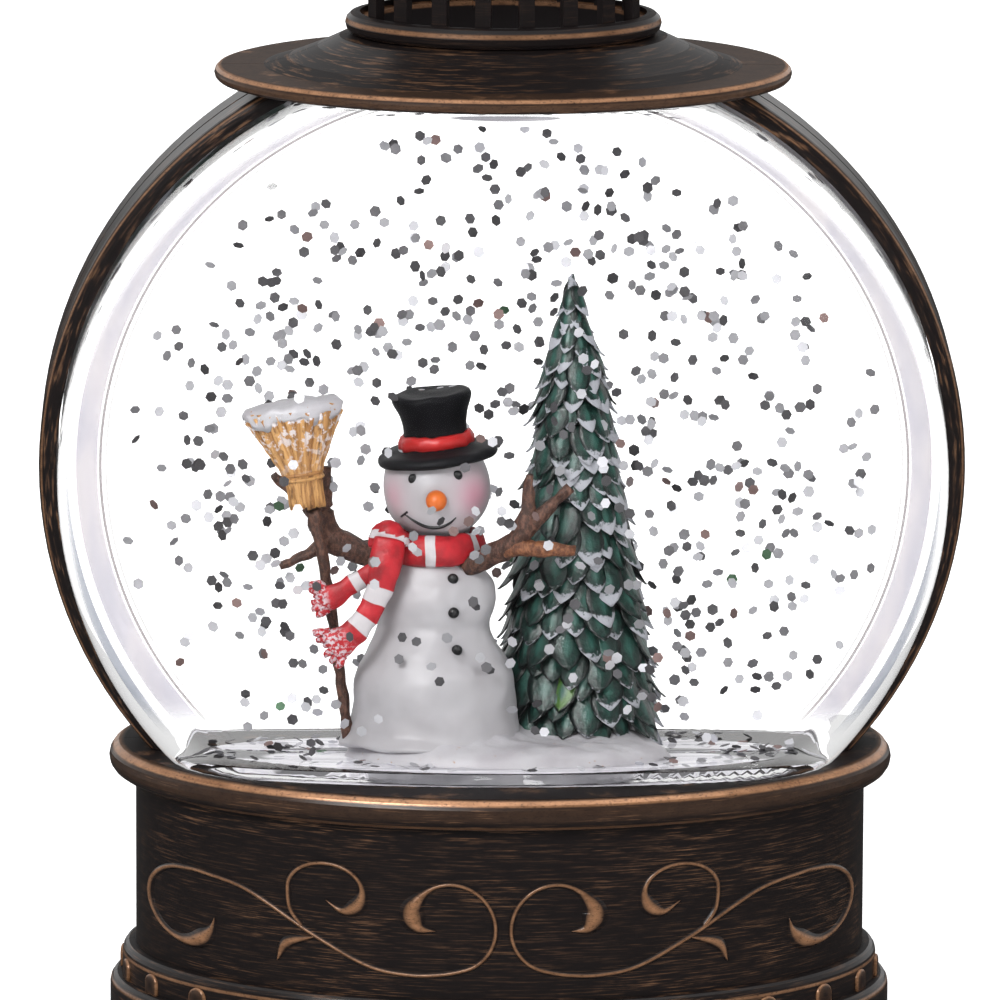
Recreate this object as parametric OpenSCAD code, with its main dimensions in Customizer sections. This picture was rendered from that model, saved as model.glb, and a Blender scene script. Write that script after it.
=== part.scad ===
// Lantern-style snow globe: a bronze housing moulded as a front and a rear shell holds a clear,
// water-filled drum with a snowman, a fir tree and a magnetically driven impeller below the floor.
// Origin: centre of the resting plane under the feet. +Z up, front faces -Y, millimetres.

/* [Housing] */
// Width of the base body
body_w = 115; // [113:1:118]
// Depth of every oval part as a share of its width
plan_ratio = 0.7; // [0.69:0.01:0.72]
// Wall thickness of the moulded shells
wall = 2; // [1.8:0.1:2.2]
// Gap between the front and the rear shell at the seam
seam_gap = 0.1; // [0.06:0.02:0.2]
// Height of the rubber feet below the housing
foot_pad_h = 1.2; // [1:0.1:1.5]
// Height of the top of the foot band
foot_top = 14.5; // [14:0.5:15]
// Height of the top of the step above the foot band
step_top = 19.5; // [19:0.5:20]
// Height of the top of the plate that carries the drum
plate_top = 52; // [52:0.5:53]
// Thickness of the plate's rounded edge
plate_t = 5; // [4.5:0.1:5.5]

/* [Ring and roof] */
// Outer width of the upright ring
ring_w = 145; // [144:0.5:146]
// Outer height of the upright ring
ring_h = 139; // [138:0.5:140]
// Height of the ring's centre
ring_z = 97.2; // [96.8:0.1:97.6]
// Radial thickness of the ring
ring_t = 2.8; // [2.6:0.1:3]
// Front-to-back depth of the ring
ring_depth = 18.5; // [17:0.5:20]
// Height of the underside of the brim
brim_z = 157.6; // [157.4:0.1:158]
// Width of the brim
brim_w = 90.2; // [89:0.2:92]
// Height of the open vent cage's bars
cage_h = 26; // [22:1:30]
// Height of the handle's arch above its pivots
handle_h = 43; // [42:1:46]

/* [Drum] */
// Clearance between the drum and the ring
drum_gap = 0.3; // [0.2:0.1:0.4]
// Half of the drum's depth at its centre
drum_half_depth = 40; // [39:0.5:41]
// Radius of the drum's domed faces
drum_dome_r = 190; // [180:5:200]
// Radius between a domed face and the drum's rim
drum_corner_r = 12; // [10:0.5:13]
// Wall thickness of the clear drum
drum_wall = 2.6; // [2.4:0.1:2.8]
// Thickness of the drum's floor and top
drum_floor = 2; // [1.8:0.1:2.2]
// Outer radius of the well below the drum's floor
well_r = 20.9; // [20.5:0.1:21.2]

/* [Drive] */
// Radius of the motor's can
motor_r = 12.2; // [11.5:0.1:12.4]
// Height of the motor's can
motor_h = 11.2; // [10.8:0.1:11.4]
// Radius of the motor's shaft
shaft_r = 1; // [0.9:0.05:1.1]
// Radial clearance of every running fit
run_gap = 0.05; // [0.03:0.01:0.08]
// Number of impeller blades
blades = 5; // [3:1:7]

/* [Power] */
// Diameter of an AA cell
cell_d = 14.3; // [14:0.1:14.5]
// Length of an AA cell without its terminal
cell_l = 49.2; // [49:0.1:49.5]
// Travel of the off, on and timer switch
switch_travel = 4; // [3.6:0.1:4.2]

/* [Scene] */
// Width of the snow mound on the drum's floor
mound_w = 49; // [46:0.5:50]
// Height of the fir tree
tree_h = 69; // [64:1:70]

/* [Hidden] */
$fn = 96;
eps = 0.01;

body_r = body_w / 2;
foot_r = body_r + 4.1;
step_r = body_r + 2.1;
plate_r = body_r + 4.2;
ring_r = ring_w / 2;
ring_ratio = ring_h / ring_w;
ring_half = ring_depth / 2;
cavity_r = body_r - wall;
skin_z = plate_top - wall;
cover_z0 = foot_pad_h;
cover_t = 2.2;
cover_z1 = cover_z0 + cover_t;
cover_r = foot_r - 2.4;

brim_r = brim_w / 2;
brim_t = 2.4;
brim_top = brim_z + brim_t;
collar_r = 24.7;
collar_bead_r = 1.7;
collar_z = brim_top + 6.7;
cage_r = 22.3;
cage_wall = 1.8;
cage_seat = collar_z - 3.7;
cage_z0 = collar_z + collar_bead_r;
cage_z1 = cage_z0 + cage_h;
cage_ring_h = 3;
roof_z = cage_z1 + cage_ring_h;
eave_r = 31;
pivot_z = roof_z + 11.4;
dome_top = roof_z + 16.5;
lug_x = 17.4;
lug_t = 2;
lug_r = 3.4;
handle_rod_r = 1.8;
arm_x = lug_x + lug_t / 2 + 0.15 + handle_rod_r;
rivet_r = 1.5;

drum_r = ring_r - ring_t - drum_gap;
drum_z0 = plate_top;
drum_z1 = brim_z - 0.2;
floor_z = drum_z0 + drum_floor;
diffuser_rx = 44;
diffuser_ry = 27;
well_floor_z = 42;
well_wall = 1.6;
well_hole_r = well_r + 0.05;
pin_r = 1;
pin_z0 = well_floor_z + 0.8;
impeller_z = well_floor_z + well_wall + 0.6;
plug_x = 15.2;
plug_r = 2;

tray_z = 32;
tray_t = 1.8;
tray_post = [47.5, 8];
tray_post_r = 3;
tray_pilot_r = 1;
hub_z = 35;
hub_h = 5;
hub_r = 14;
magnet_r = 3;
magnet_h = 2.5;
magnet_ring = 9;
led_ring = 26.5;
led_board_z = 44;

cover_post = [38, 21];
cover_post_r = 3.2;
cover_pilot_r = 1.25;
box_x = 31;
box_y = 24.5;
box_top = 20.1;
box_wall = 1.5;
door_x = 28;
door_y = 22;
door_t = 2;
door_gap = 0.2;
cell_z = cover_z1 + 7.6;
cell_pitch = 14.9;
switch_x = 43;
foot_pos = [47, 12];
board_z = 24.6;
board_t = 1.6;
socket_z = 30;

mound_pos = [1.1, -7];
mound_depth = 34;
mound_h = 3.2;
snow_pos = [-10, -6];
snow_z0 = floor_z + mound_h + 0.05;
neck_z = snow_z0 + 30.4;
neck_r = 4.4;
skirt_r = 12.9;
head_z = snow_z0 + 38.2;
head_r = 8;
hat_z = head_z + 5.3;
scarf_z = snow_z0 + 26.8;
scarf_r = 7.6;
scarf_h = 4.4;
tree_pos = [12, 2];
tree_r = 11;

bronze = [0.16, 0.11, 0.08];
clear = [0.85, 0.92, 0.97, 0.35];

// Points on an arc in a section plane, from angle a0 to a1.
function arc(centre, r, a0, a1, steps) =
    [for (i = [0 : steps]) let (a = a0 + (a1 - a0) * i / steps) centre + r * [cos(a), sin(a)]];

// Squeezes a round part into the housing's oval plan.
module oval() scale([1, plan_ratio, 1]) children();

// Keeps one side of the seam plane: -1 is the front, +1 the rear.
module seam_half(side, gap) {
    intersection() {
        children();
        translate([-200, side > 0 ? gap / 2 : -200 - gap / 2, -50]) cube([400, 200, 400]);
    }
}

// Repeats a part at the four corners of a rectangle, given as half sizes.
module at_corners(half) {
    for (sx = [-1, 1], sy = [-1, 1]) translate([sx * half[0], sy * half[1], 0]) children();
}

// ---- Housing -------------------------------------------------------------------------------

// Foot, step, body wall and rounded plate in one section.
function base_section() = concat(
    [[foot_r - 0.6, cover_z0], [foot_r, cover_z0 + 0.6]],
    arc([foot_r - 1.8, foot_top - 1.8], 1.8, 0, 90, 4),
    [[step_r, foot_top]],
    arc([step_r - 1.6, step_top - 1.6], 1.6, 0, 90, 4),
    [[body_r, step_top], [body_r, plate_top - plate_t]],
    arc([plate_r - plate_t / 2, plate_top - plate_t / 2], plate_t / 2, -90, 90, 8),
    [[24, plate_top], [24, skin_z], [cavity_r, skin_z], [cavity_r, cover_z1],
     [cover_r + 0.15, cover_z1], [cover_r + 0.15, cover_z0]]);

// Brim, sloping roof and beaded collar in one section.
function brim_section() = concat(
    [[28, brim_z]],
    arc([brim_r - brim_t / 2, brim_z + brim_t / 2], brim_t / 2, -90, 90, 6),
    [[37.4, brim_top], [33.5, brim_top + 1.2], [29, brim_top + 3], [25.6, brim_top + 4.6],
     [collar_r - collar_bead_r, collar_z - collar_bead_r]],
    arc([collar_r - collar_bead_r, collar_z], collar_bead_r, -90, 90, 6),
    [[cage_r + 0.1, cage_z0], [cage_r + 0.1, cage_seat], [20.5, cage_seat], [20.5, cage_seat - 1.7],
     [25.5, cage_seat - 1.7]]);

// Upright ring around the drum, with rounded outer edges and a shallow groove on the seam.
module ring_band() {
    edge_r = 1.6;
    section = concat(
        [[ring_r - ring_t, -ring_half]],
        arc([ring_r - edge_r, -ring_half + edge_r], edge_r, -90, 0, 4),
        [[ring_r, -0.5], [ring_r - 0.4, 0], [ring_r, 0.5]],
        arc([ring_r - edge_r, ring_half - edge_r], edge_r, 0, 90, 4),
        [[ring_r - ring_t, ring_half]]);
    intersection() {
        translate([0, 0, ring_z]) scale([1, 1, ring_ratio]) rotate([90, 0, 0]) rotate_extrude()
            polygon(section);
        translate([-100, -50, skin_z + 0.5]) cube([200, 100, brim_z + 1 - skin_z - 0.5]);
    }
}

module frame_shell() {
    difference() {
        union() {
            oval() rotate_extrude() polygon(base_section());
            oval() rotate_extrude() polygon(brim_section());
            ring_band();
            at_corners(cover_post) translate([0, 0, cover_z1])
                cylinder(r = cover_post_r, h = skin_z + 0.5 - cover_z1);
            at_corners(tray_post) translate([0, 0, tray_z + tray_t])
                cylinder(r = tray_post_r, h = skin_z + 0.5 - tray_z - tray_t);
        }
        translate([0, 0, skin_z - 1]) scale([1, diffuser_ry / diffuser_rx, 1])
            cylinder(r = diffuser_rx, h = wall + 2);
        at_corners(cover_post) translate([0, 0, cover_z1 - 1]) cylinder(r = cover_pilot_r, h = 13);
        at_corners(tray_post) translate([0, 0, tray_z]) cylinder(r = tray_pilot_r, h = 10);
    }
}

module front_frame() {
    color(bronze) seam_half(-1, seam_gap) frame_shell();
}

module rear_frame() {
    color(bronze) difference() {
        union() {
            seam_half(1, seam_gap) frame_shell();
            translate([-8, 29, board_z + 0.8]) cube([16, 9.6, 1.5]);
        }
        translate([-4.1, 34, socket_z - 1.7]) cube([8.2, 10, 3.4]);
    }
}

// Open cage of upright bars, closer together at the sides of the oval.
module vent_cage() {
    bar_w = 2.4;
    color(bronze) union() {
        oval() difference() {
            translate([0, 0, cage_seat]) cylinder(r = cage_r, h = cage_z0 - 1 - cage_seat);
            translate([0, 0, cage_seat - 1]) cylinder(r = cage_r - cage_wall, h = 10);
        }
        oval() difference() {
            translate([0, 0, cage_z1]) cylinder(r = cage_r, h = cage_ring_h);
            translate([0, 0, cage_z1 - 1]) cylinder(r = cage_r - cage_wall, h = cage_ring_h + 2);
        }
        for (side = [0, 180], k = [-3.5 : 3.5]) {
            turn = 17.7 * k + 0.5 * k * abs(k);
            x = (cage_r - cage_wall / 2) * sin(turn);
            y = -(cage_r * plan_ratio - cage_wall / 2) * cos(turn);
            lean = atan2(sin(turn) * plan_ratio, cos(turn));
            rotate([0, 0, side]) translate([x, y, cage_z0 - 2]) rotate([0, 0, lean])
                translate([-bar_w / 2, -0.75, 0]) cube([bar_w, 1.5, cage_h + 3]);
        }
    }
}

function roof_section() = concat(
    [[20.3, roof_z - 1.5], [20.3, roof_z]],
    arc([eave_r - 1.1, roof_z + 1.1], 1.1, -90, 90, 6),
    [[27.5, roof_z + 2.3], [22.5, roof_z + 4.4], [18.5, roof_z + 7.2], [16.6, roof_z + 9.4],
     [15.4, roof_z + 11.4], [12.8, roof_z + 13.6], [9.2, roof_z + 15.3], [5, roof_z + 16.3],
     [0, dome_top], [0, dome_top - 2.2], [8, roof_z + 12.6], [13, roof_z + 9.4],
     [15.4, roof_z + 5.6], [18.6, roof_z + 2], [18.6, roof_z - 1.5]]);

module roof_cap() {
    lug_foot = roof_z + 6.4;
    color(bronze) difference() {
        union() {
            oval() rotate_extrude() polygon(roof_section());
            for (side = [-1, 1]) translate([side * lug_x - lug_t / 2, 0, pivot_z]) {
                translate([0, -lug_r, lug_foot - pivot_z]) cube([lug_t, 2 * lug_r, pivot_z - lug_foot]);
                rotate([0, 90, 0]) cylinder(r = lug_r, h = lug_t);
            }
        }
        for (side = [-1, 1]) translate([side * lug_x - lug_t, 0, pivot_z]) rotate([0, 90, 0])
            cylinder(r = rivet_r, h = 2 * lug_t);
        translate([0, 0, dome_top - 4]) cylinder(r = 1.6, h = 5);
    }
}

module finial() {
    section = concat(
        [[0, dome_top - 2.2], [1.55, dome_top - 2.2], [1.55, dome_top], [4.6, dome_top],
         [4.6, dome_top + 1.2], [2.6, dome_top + 2.2]],
        arc([0, dome_top + 6.6], 4.4, -54, 60, 8),
        [[1.6, dome_top + 11.6], [0, dome_top + 12.4]]);
    color(bronze) rotate_extrude() polygon(section);
}

// Arched handle with an eye on each leg; it swings about the X axis through the rivets.
module handle() {
    leg_top = pivot_z + handle_h - arm_x - handle_rod_r;
    color(bronze) difference() {
        union() {
            for (side = [-1, 1]) translate([side * arm_x, 0, 0]) {
                translate([0, 0, pivot_z + 2]) cylinder(r = handle_rod_r, h = leg_top - pivot_z - 2);
                translate([-handle_rod_r, 0, pivot_z]) rotate([0, 90, 0])
                    cylinder(r = lug_r, h = 2 * handle_rod_r);
            }
            translate([0, 0, leg_top]) rotate([90, 0, 0]) rotate_extrude(angle = 180)
                translate([arm_x, 0]) circle(r = handle_rod_r);
        }
        for (side = [-1, 1]) translate([side * arm_x - 3, 0, pivot_z]) rotate([0, 90, 0])
            cylinder(r = rivet_r + run_gap, h = 6);
    }
}

module handle_rivets() {
    inner_x = lug_x - lug_t / 2 - 0.6;
    head_x = arm_x + handle_rod_r + 0.1;
    color("darkgoldenrod") for (turn = [0, 180]) rotate([0, 0, turn]) translate([0, 0, pivot_z]) {
        translate([inner_x, 0, 0]) rotate([0, 90, 0])
            cylinder(r = rivet_r - 0.005, h = head_x + 0.2 - inner_x);
        translate([head_x, 0, 0]) rotate([0, 90, 0]) cylinder(r1 = 3, r2 = 2, h = 1.1);
    }
}

// ---- Drum ----------------------------------------------------------------------------------

// Half section of the drum or, with inset, of the space inside it: radius against depth.
function drum_section(inset) =
    let (corner = drum_corner_r - inset,
         dome = drum_dome_r - inset,
         centre_y = drum_half_depth - drum_dome_r,
         corner_x = drum_r - drum_corner_r,
         corner_y = centre_y + sqrt(pow(dome - corner, 2) - corner_x * corner_x),
         join = atan2(corner_x, corner_y - centre_y),
         half = concat(
             [[drum_r - inset, 0]],
             arc([corner_x, corner_y], corner, 0, 90 - join, 5),
             [for (i = [1 : 5]) let (a = join * (1 - i / 5)) [dome * sin(a), centre_y + dome * cos(a)]]))
    concat(half, [[0, -half[len(half) - 1][1]]],
           [for (i = [len(half) - 2 : -1 : 1]) [half[i][0], -half[i][1]]]);

module drum_solid(inset, z0, z1) {
    intersection() {
        translate([0, 0, ring_z]) scale([1, 1, ring_ratio]) rotate([90, 0, 0]) rotate_extrude()
            polygon(drum_section(inset));
        translate([-80, -50, z0]) cube([160, 100, z1 - z0]);
    }
}

module drum_shell(side) {
    color(clear) seam_half(side, 0.02) difference() {
        drum_solid(0, drum_z0, drum_z1);
        drum_solid(drum_wall, floor_z, drum_z1 - drum_floor);
        translate([0, 0, drum_z0 - 1]) cylinder(r = well_hole_r, h = drum_floor + 2);
    }
}

module drum_front() drum_shell(-1);
module drum_rear() drum_shell(1);

// Clear cup welded into the drum's floor; the impeller turns in it.
module well_cup() {
    color(clear) difference() {
        union() {
            translate([0, 0, well_floor_z]) cylinder(r = well_r, h = floor_z - well_floor_z);
            translate([0, 0, drum_z0 - 1.5]) cylinder(r = well_r + 2, h = 1.45);
        }
        translate([0, 0, floor_z - 2]) cylinder(r = well_r - 1.2, h = 3);
        translate([0, 0, well_floor_z + well_wall]) cylinder(r = well_r - 2.4, h = 20);
        translate([0, 0, pin_z0]) cylinder(r = pin_r, h = 5);
        translate([plug_x, 0, well_floor_z - 1]) cylinder(r = plug_r, h = 5);
    }
}

module fill_plug() {
    color([0.2, 0.2, 0.2]) translate([plug_x, 0, well_floor_z]) {
        translate([0, 0, -1]) cylinder(r = plug_r + 0.8, h = 0.98);
        translate([0, 0, -0.5]) cylinder(r = plug_r - 0.01, h = 2.4);
    }
}

module well_grille() {
    slots = 12;
    color("whitesmoke") translate([0, 0, floor_z - 1.95]) difference() {
        cylinder(r = well_r - 1.3, h = 1.6);
        for (i = [1 : slots]) rotate([0, 0, 360 / slots * i]) translate([9.5, -1, -1]) cube([8, 2, 4]);
        translate([0, 0, -1]) cylinder(r = pin_r + 0.03, h = 4);
    }
}

module impeller_pin() {
    color("silver") translate([0, 0, pin_z0 + 0.02]) cylinder(r = pin_r - 0.005, h = floor_z - 0.8 - pin_z0);
}

module impeller() {
    color("white") difference() {
        union() {
            translate([0, 0, impeller_z]) cylinder(r = 13, h = 3);
            translate([0, 0, impeller_z + 3 - eps]) cylinder(r = 3.2, h = 3.6);
            for (i = [0 : blades - 1]) rotate([0, 0, 360 / blades * i])
                translate([2.5, -0.6, impeller_z + 3 - eps]) cube([10, 1.2, 3.2]);
        }
        translate([0, 0, impeller_z - 1]) cylinder(r = pin_r + run_gap, h = 9);
        for (side = [-1, 1]) translate([side * magnet_ring, 0, impeller_z - 1])
            cylinder(r = magnet_r, h = magnet_h + 1);
    }
}

module magnet_pair(z) {
    color("silver") for (side = [-1, 1]) translate([side * magnet_ring, 0, z])
        cylinder(r = magnet_r - 0.02, h = magnet_h - 0.02);
}

module impeller_magnets() magnet_pair(impeller_z + 0.01);

// ---- Scene inside the drum -------------------------------------------------------------------

module snow_mound() {
    r = mound_w / 2;
    section = [[0, 0], [r - 0.6, 0], [r, 0.8], [r - 1.2, 1.9], [r - 5, mound_h - 0.5], [r - 10, mound_h],
               [0, mound_h]];
    color("white") difference() {
        translate([mound_pos[0], mound_pos[1], floor_z + 0.02]) scale([1, mound_depth / mound_w, 1])
            rotate_extrude() polygon(section);
        translate([-9, -12, floor_z - 1]) cube([18, 40, 2.2]);
    }
}

// Snowman's skirt, lower ball, waist, upper ball and neck in one section, thicker by grow.
function snow_section(grow) = concat(
    [[0, snow_z0 - grow], [skirt_r + grow, snow_z0 - grow], [skirt_r - 1 + grow, snow_z0 + 1.6]],
    arc([1.4, snow_z0 + 7.5], 10.8 + grow, -15, 50, 8),
    arc([0, snow_z0 + 20.5], 8.8 + grow, -22, 55, 8),
    [[neck_r + grow, neck_z + grow], [0, neck_z + grow]]);

module snow_figure(grow) translate(snow_pos) rotate_extrude() polygon(snow_section(grow));

module snowman_body() color("white") snow_figure(0);

module snowman_head() {
    nose_r = 1.5;
    color("white") translate(snow_pos) union() {
        intersection() {
            translate([0, 0, head_z]) sphere(r = head_r);
            translate([-10, -10, neck_z + 0.05]) cube([20, 20, 20]);
        }
        translate([0, -head_r, head_z - 2]) sphere(r = nose_r);
    }
}

module top_hat() {
    section = [[0, 0], [6.4, 0], [8.5, 0.8], [8.6, 1.4], [8.1, 1.6], [4.9, 1.4], [4.6, 3.6], [5.6, 7.5],
               [5.2, 8], [0, 8]];
    color([0.05, 0.05, 0.05]) translate(snow_pos) difference() {
        translate([0, 0, hat_z]) rotate_extrude() polygon(section);
        translate([0, 0, head_z]) sphere(r = head_r + 0.05);
    }
}

// Flat strip of cloth that faces the front, from its outline in x and z.
module cloth(outline, y) {
    translate([0, y, 0]) rotate([90, 0, 0]) linear_extrude(height = 2.2) polygon(outline);
}

// Rolled collar of the scarf, its knot, and two tails that hang to the left of the body.
module scarf() {
    roll_r = scarf_h / 2;
    color("firebrick") difference() {
        union() {
            translate(snow_pos) rotate_extrude() polygon(concat(
                [[4, scarf_z]], arc([scarf_r - roll_r, scarf_z + roll_r], roll_r, -90, 90, 8),
                [[4, scarf_z + scarf_h]]));
            translate([-15.6, -12.6, 83.4]) cylinder(r = 3.2, h = 5.6);
            cloth([[-13.6, 87.5], [-17.6, 88.6], [-19.4, 84], [-19.2, 78.5], [-22.5, 75.2], [-28.4, 72.6],
                   [-27, 68.4], [-21.2, 69], [-17.2, 73], [-15.2, 78.5], [-14.4, 84]], -13.4);
            cloth([[-15.5, 85], [-18, 87.6], [-23.5, 83.4], [-29, 82], [-28.4, 76.6], [-23.6, 78],
                   [-17, 80.6]], -11.4);
        }
        translate(snow_pos) rotate_extrude() polygon([
            [0, snow_z0 - 1], [13.1, snow_z0 - 1], [13.1, snow_z0 + 9], [9, snow_z0 + 17], [9, snow_z0 + 22],
            [7.4, snow_z0 + 25.6], [5.4, snow_z0 + 28], [4.8, neck_z + 0.15], [6.6, head_z - 4.6],
            [8.1, head_z], [0, head_z]]);
    }
}

// One straight twig from a to b.
module twig(a, b, r0, r1) {
    d = b - a;
    reach = norm(d);
    translate(a) rotate([0, acos(d[2] / reach), atan2(d[1], d[0])]) cylinder(r1 = r0, r2 = r1, h = reach);
}

// Trims an arm where it meets the body and the collar.
module trimmed_arm() {
    color("saddlebrown") difference() {
        union() children();
        snow_figure(0.03);
        translate([snow_pos[0], snow_pos[1], scarf_z - 0.05])
            cylinder(r = scarf_r + 0.05, h = scarf_h + 0.1);
    }
}

module left_arm() {
    y = snow_pos[1] + 1.5;
    elbow = [-25.4, y, scarf_z + 4.6];
    trimmed_arm() {
        translate(elbow) sphere(r = 1.6);
        twig([-15, y, scarf_z - 2.5], elbow, 1.5, 1.3);
        twig(elbow, [-33.7, y, scarf_z + 12], 1.3, 0.6);
        twig(elbow, [-32.6, y - 0.6, scarf_z - 1.2], 1.2, 0.5);
    }
}

module right_arm() {
    elbow = [3.4, snow_pos[1] - 9.4, scarf_z + 2.6];
    trimmed_arm() {
        translate(elbow) sphere(r = 1.5);
        twig([-5.5, snow_pos[1] - 4, scarf_z - 2], elbow, 1.4, 1.2);
        twig(elbow, [4.4, snow_pos[1] - 10, scarf_z + 13.5], 1.2, 0.5);
        twig(elbow, [10.1, snow_pos[1] - 10.5, scarf_z + 11.5], 1.1, 0.5);
        twig(elbow, [10.9, snow_pos[1] - 10.5, scarf_z + 1.8], 1.1, 0.5);
    }
}

module broom() {
    head = [-28, snow_pos[1] - 4, scarf_z + 8.5];
    color("peru") union() {
        twig([-23.6, snow_pos[1] - 1.2, snow_z0 + 0.1], head, 0.9, 0.9);
        translate(head - [0, 0, 0.6]) rotate([0, -10, 0]) scale([1, 0.5, 1])
            cylinder(r1 = 2.6, r2 = 7.2, h = 16.5);
    }
}

// Tree of stacked cones, each with a lip over the one below.
module fir_tree() {
    tiers = 6;
    tier_h = tree_h / tiers;
    section = concat(
        [[0, 0], [tree_r - 2, 0]],
        [for (i = [0 : tiers - 1], lip = [0, 1]) let (r = tree_r * (1 - i / tiers))
            [r + (lip == 0 ? 0 : -1.7), tier_h * i + (lip == 0 ? 2 : tier_h)]],
        [[0, tree_h]]);
    color("darkgreen") translate([tree_pos[0], tree_pos[1], snow_z0]) rotate_extrude() polygon(section);
}

// ---- Light and drive -------------------------------------------------------------------------

module light_diffuser() {
    lip = 1.4;
    color("white") difference() {
        union() {
            translate([0, 0, skin_z - 0.1]) scale([1, (diffuser_ry - 0.2) / (diffuser_rx - 0.2), 1])
                cylinder(r = diffuser_rx - 0.2, h = wall + 0.05);
            translate([0, 0, skin_z - lip - 0.05]) scale([1, (diffuser_ry + 2) / (diffuser_rx + 0.2), 1])
                cylinder(r = diffuser_rx + 0.2, h = lip);
        }
        translate([0, 0, skin_z - 5]) cylinder(r = well_r + 2.3, h = 10);
        at_corners(cover_post) translate([0, 0, skin_z - 5]) cylinder(r = cover_post_r + 0.3, h = 10);
    }
}

module led_board() {
    color("darkgreen") translate([0, 0, led_board_z]) difference() {
        cylinder(r = 29.5, h = board_t);
        translate([0, 0, -1]) cylinder(r = 23.4, h = 4);
    }
}

module leds() {
    color("lightyellow") for (i = [0 : 5]) rotate([0, 0, 60 * i])
        translate([led_ring - 1.7, -1.4, led_board_z + board_t + 0.01]) cube([3.4, 2.8, 1.8]);
}

// Tray under the plate that carries the motor and the light board.
module drive_tray() {
    half_l = 51;
    half_w = 11.6;
    color([0.25, 0.25, 0.27]) difference() {
        union() {
            translate([-half_l, -half_w, tray_z]) cube([2 * half_l, 2 * half_w, tray_t]);
            at_corners([24.9, 9.06]) translate([0, 0, tray_z + tray_t - eps])
                cylinder(r = 1.8, h = led_board_z - tray_z - tray_t);
        }
        translate([0, 0, tray_z - 1]) cylinder(r = 3.2, h = 5);
        at_corners(tray_post) translate([0, 0, tray_z - 1]) cylinder(r = tray_pilot_r + 0.3, h = 5);
    }
}

module screw(head_r, head_h, shank_r, shank_l) {
    difference() {
        union() {
            cylinder(r = head_r, h = head_h);
            translate([0, 0, head_h - eps]) cylinder(r = shank_r, h = shank_l);
        }
        for (turn = [0, 90]) rotate([0, 0, turn])
            translate([-head_r * 0.6, -0.3, -eps]) cube([head_r * 1.2, 0.6, head_h * 0.55]);
    }
}

module tray_screws() {
    color("silver") at_corners(tray_post) translate([0, 0, tray_z - 1.41])
        screw(2.2, 1.4, tray_pilot_r - 0.01, 8.5);
}

module motor() {
    color("silver") difference() {
        union() {
            translate([0, 0, tray_z - motor_h - 0.02]) cylinder(r = motor_r, h = motor_h);
            translate([0, 0, tray_z - 0.1]) cylinder(r = 3, h = 1);
        }
        translate([0, 0, tray_z - 9]) cylinder(r = shaft_r + run_gap, h = 12);
    }
}

module motor_shaft() {
    shaft_z0 = tray_z - 8.5;
    color("gainsboro") translate([0, 0, shaft_z0])
        cylinder(r = shaft_r - 0.005, h = hub_z + hub_h - 1 - shaft_z0);
}

module drive_hub() {
    color([0.9, 0.88, 0.8]) translate([0, 0, hub_z]) difference() {
        cylinder(r = hub_r, h = hub_h);
        translate([0, 0, -1]) cylinder(r = shaft_r, h = hub_h + 2);
        for (side = [-1, 1]) translate([side * magnet_ring, 0, hub_h - magnet_h])
            cylinder(r = magnet_r, h = magnet_h + 1);
    }
}

module drive_magnets() magnet_pair(hub_z + hub_h - magnet_h + 0.01);

// ---- Electronics -----------------------------------------------------------------------------

module control_board() {
    color("darkgreen") translate([-45, -9, board_z]) cube([27, 18, board_t]);
}

module board_parts() {
    z = board_z + board_t + 0.01;
    color([0.12, 0.12, 0.12]) {
        translate([-35, -3, z]) cube([8, 6, 1.6]);
        translate([-42, 3.5, z]) cylinder(r = 2.4, h = 4.4);
        translate([-25, 1.5, z]) cube([5, 6, 3.6]);
        translate([-25, -7.5, z]) cube([5, 6, 3.6]);
    }
}

module socket_board() {
    color("darkgreen") translate([-7, 27, socket_z - 1.5 - board_t]) cube([14, 10, board_t]);
}

module power_socket() {
    color("silver") difference() {
        translate([-3.8, 33, socket_z - 1.48]) cube([7.6, 6.9, 2.9]);
        translate([-3.5, 34, socket_z - 1.18]) cube([7, 8, 2.3]);
    }
    color([0.1, 0.1, 0.1]) translate([-2, 33.9, socket_z - 0.4]) cube([4, 5, 0.7]);
}

module switch_body() {
    color([0.15, 0.15, 0.15]) translate([switch_x, 0, cover_z1 + 0.01]) difference() {
        translate([-3.5, -7, 0]) cube([7, 14, 5.5]);
        translate([-2.9, -4.7, -1]) cube([5.8, 9.4, 2.8]);
    }
}

// Slider of the off, on and timer switch; it starts at its front end.
module switch_knob() {
    start = -switch_travel / 2;
    color([0.08, 0.08, 0.08]) translate([switch_x, start, 0]) union() {
        translate([-1.5, -1.7, cover_z0 - 0.6]) cube([3, 3.4, cover_t + 0.8]);
        translate([-2.7, -2.4, cover_z1 + 0.1]) cube([5.4, 4.8, 1.5]);
    }
}

// ---- Bottom cover and batteries ----------------------------------------------------------------

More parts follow.
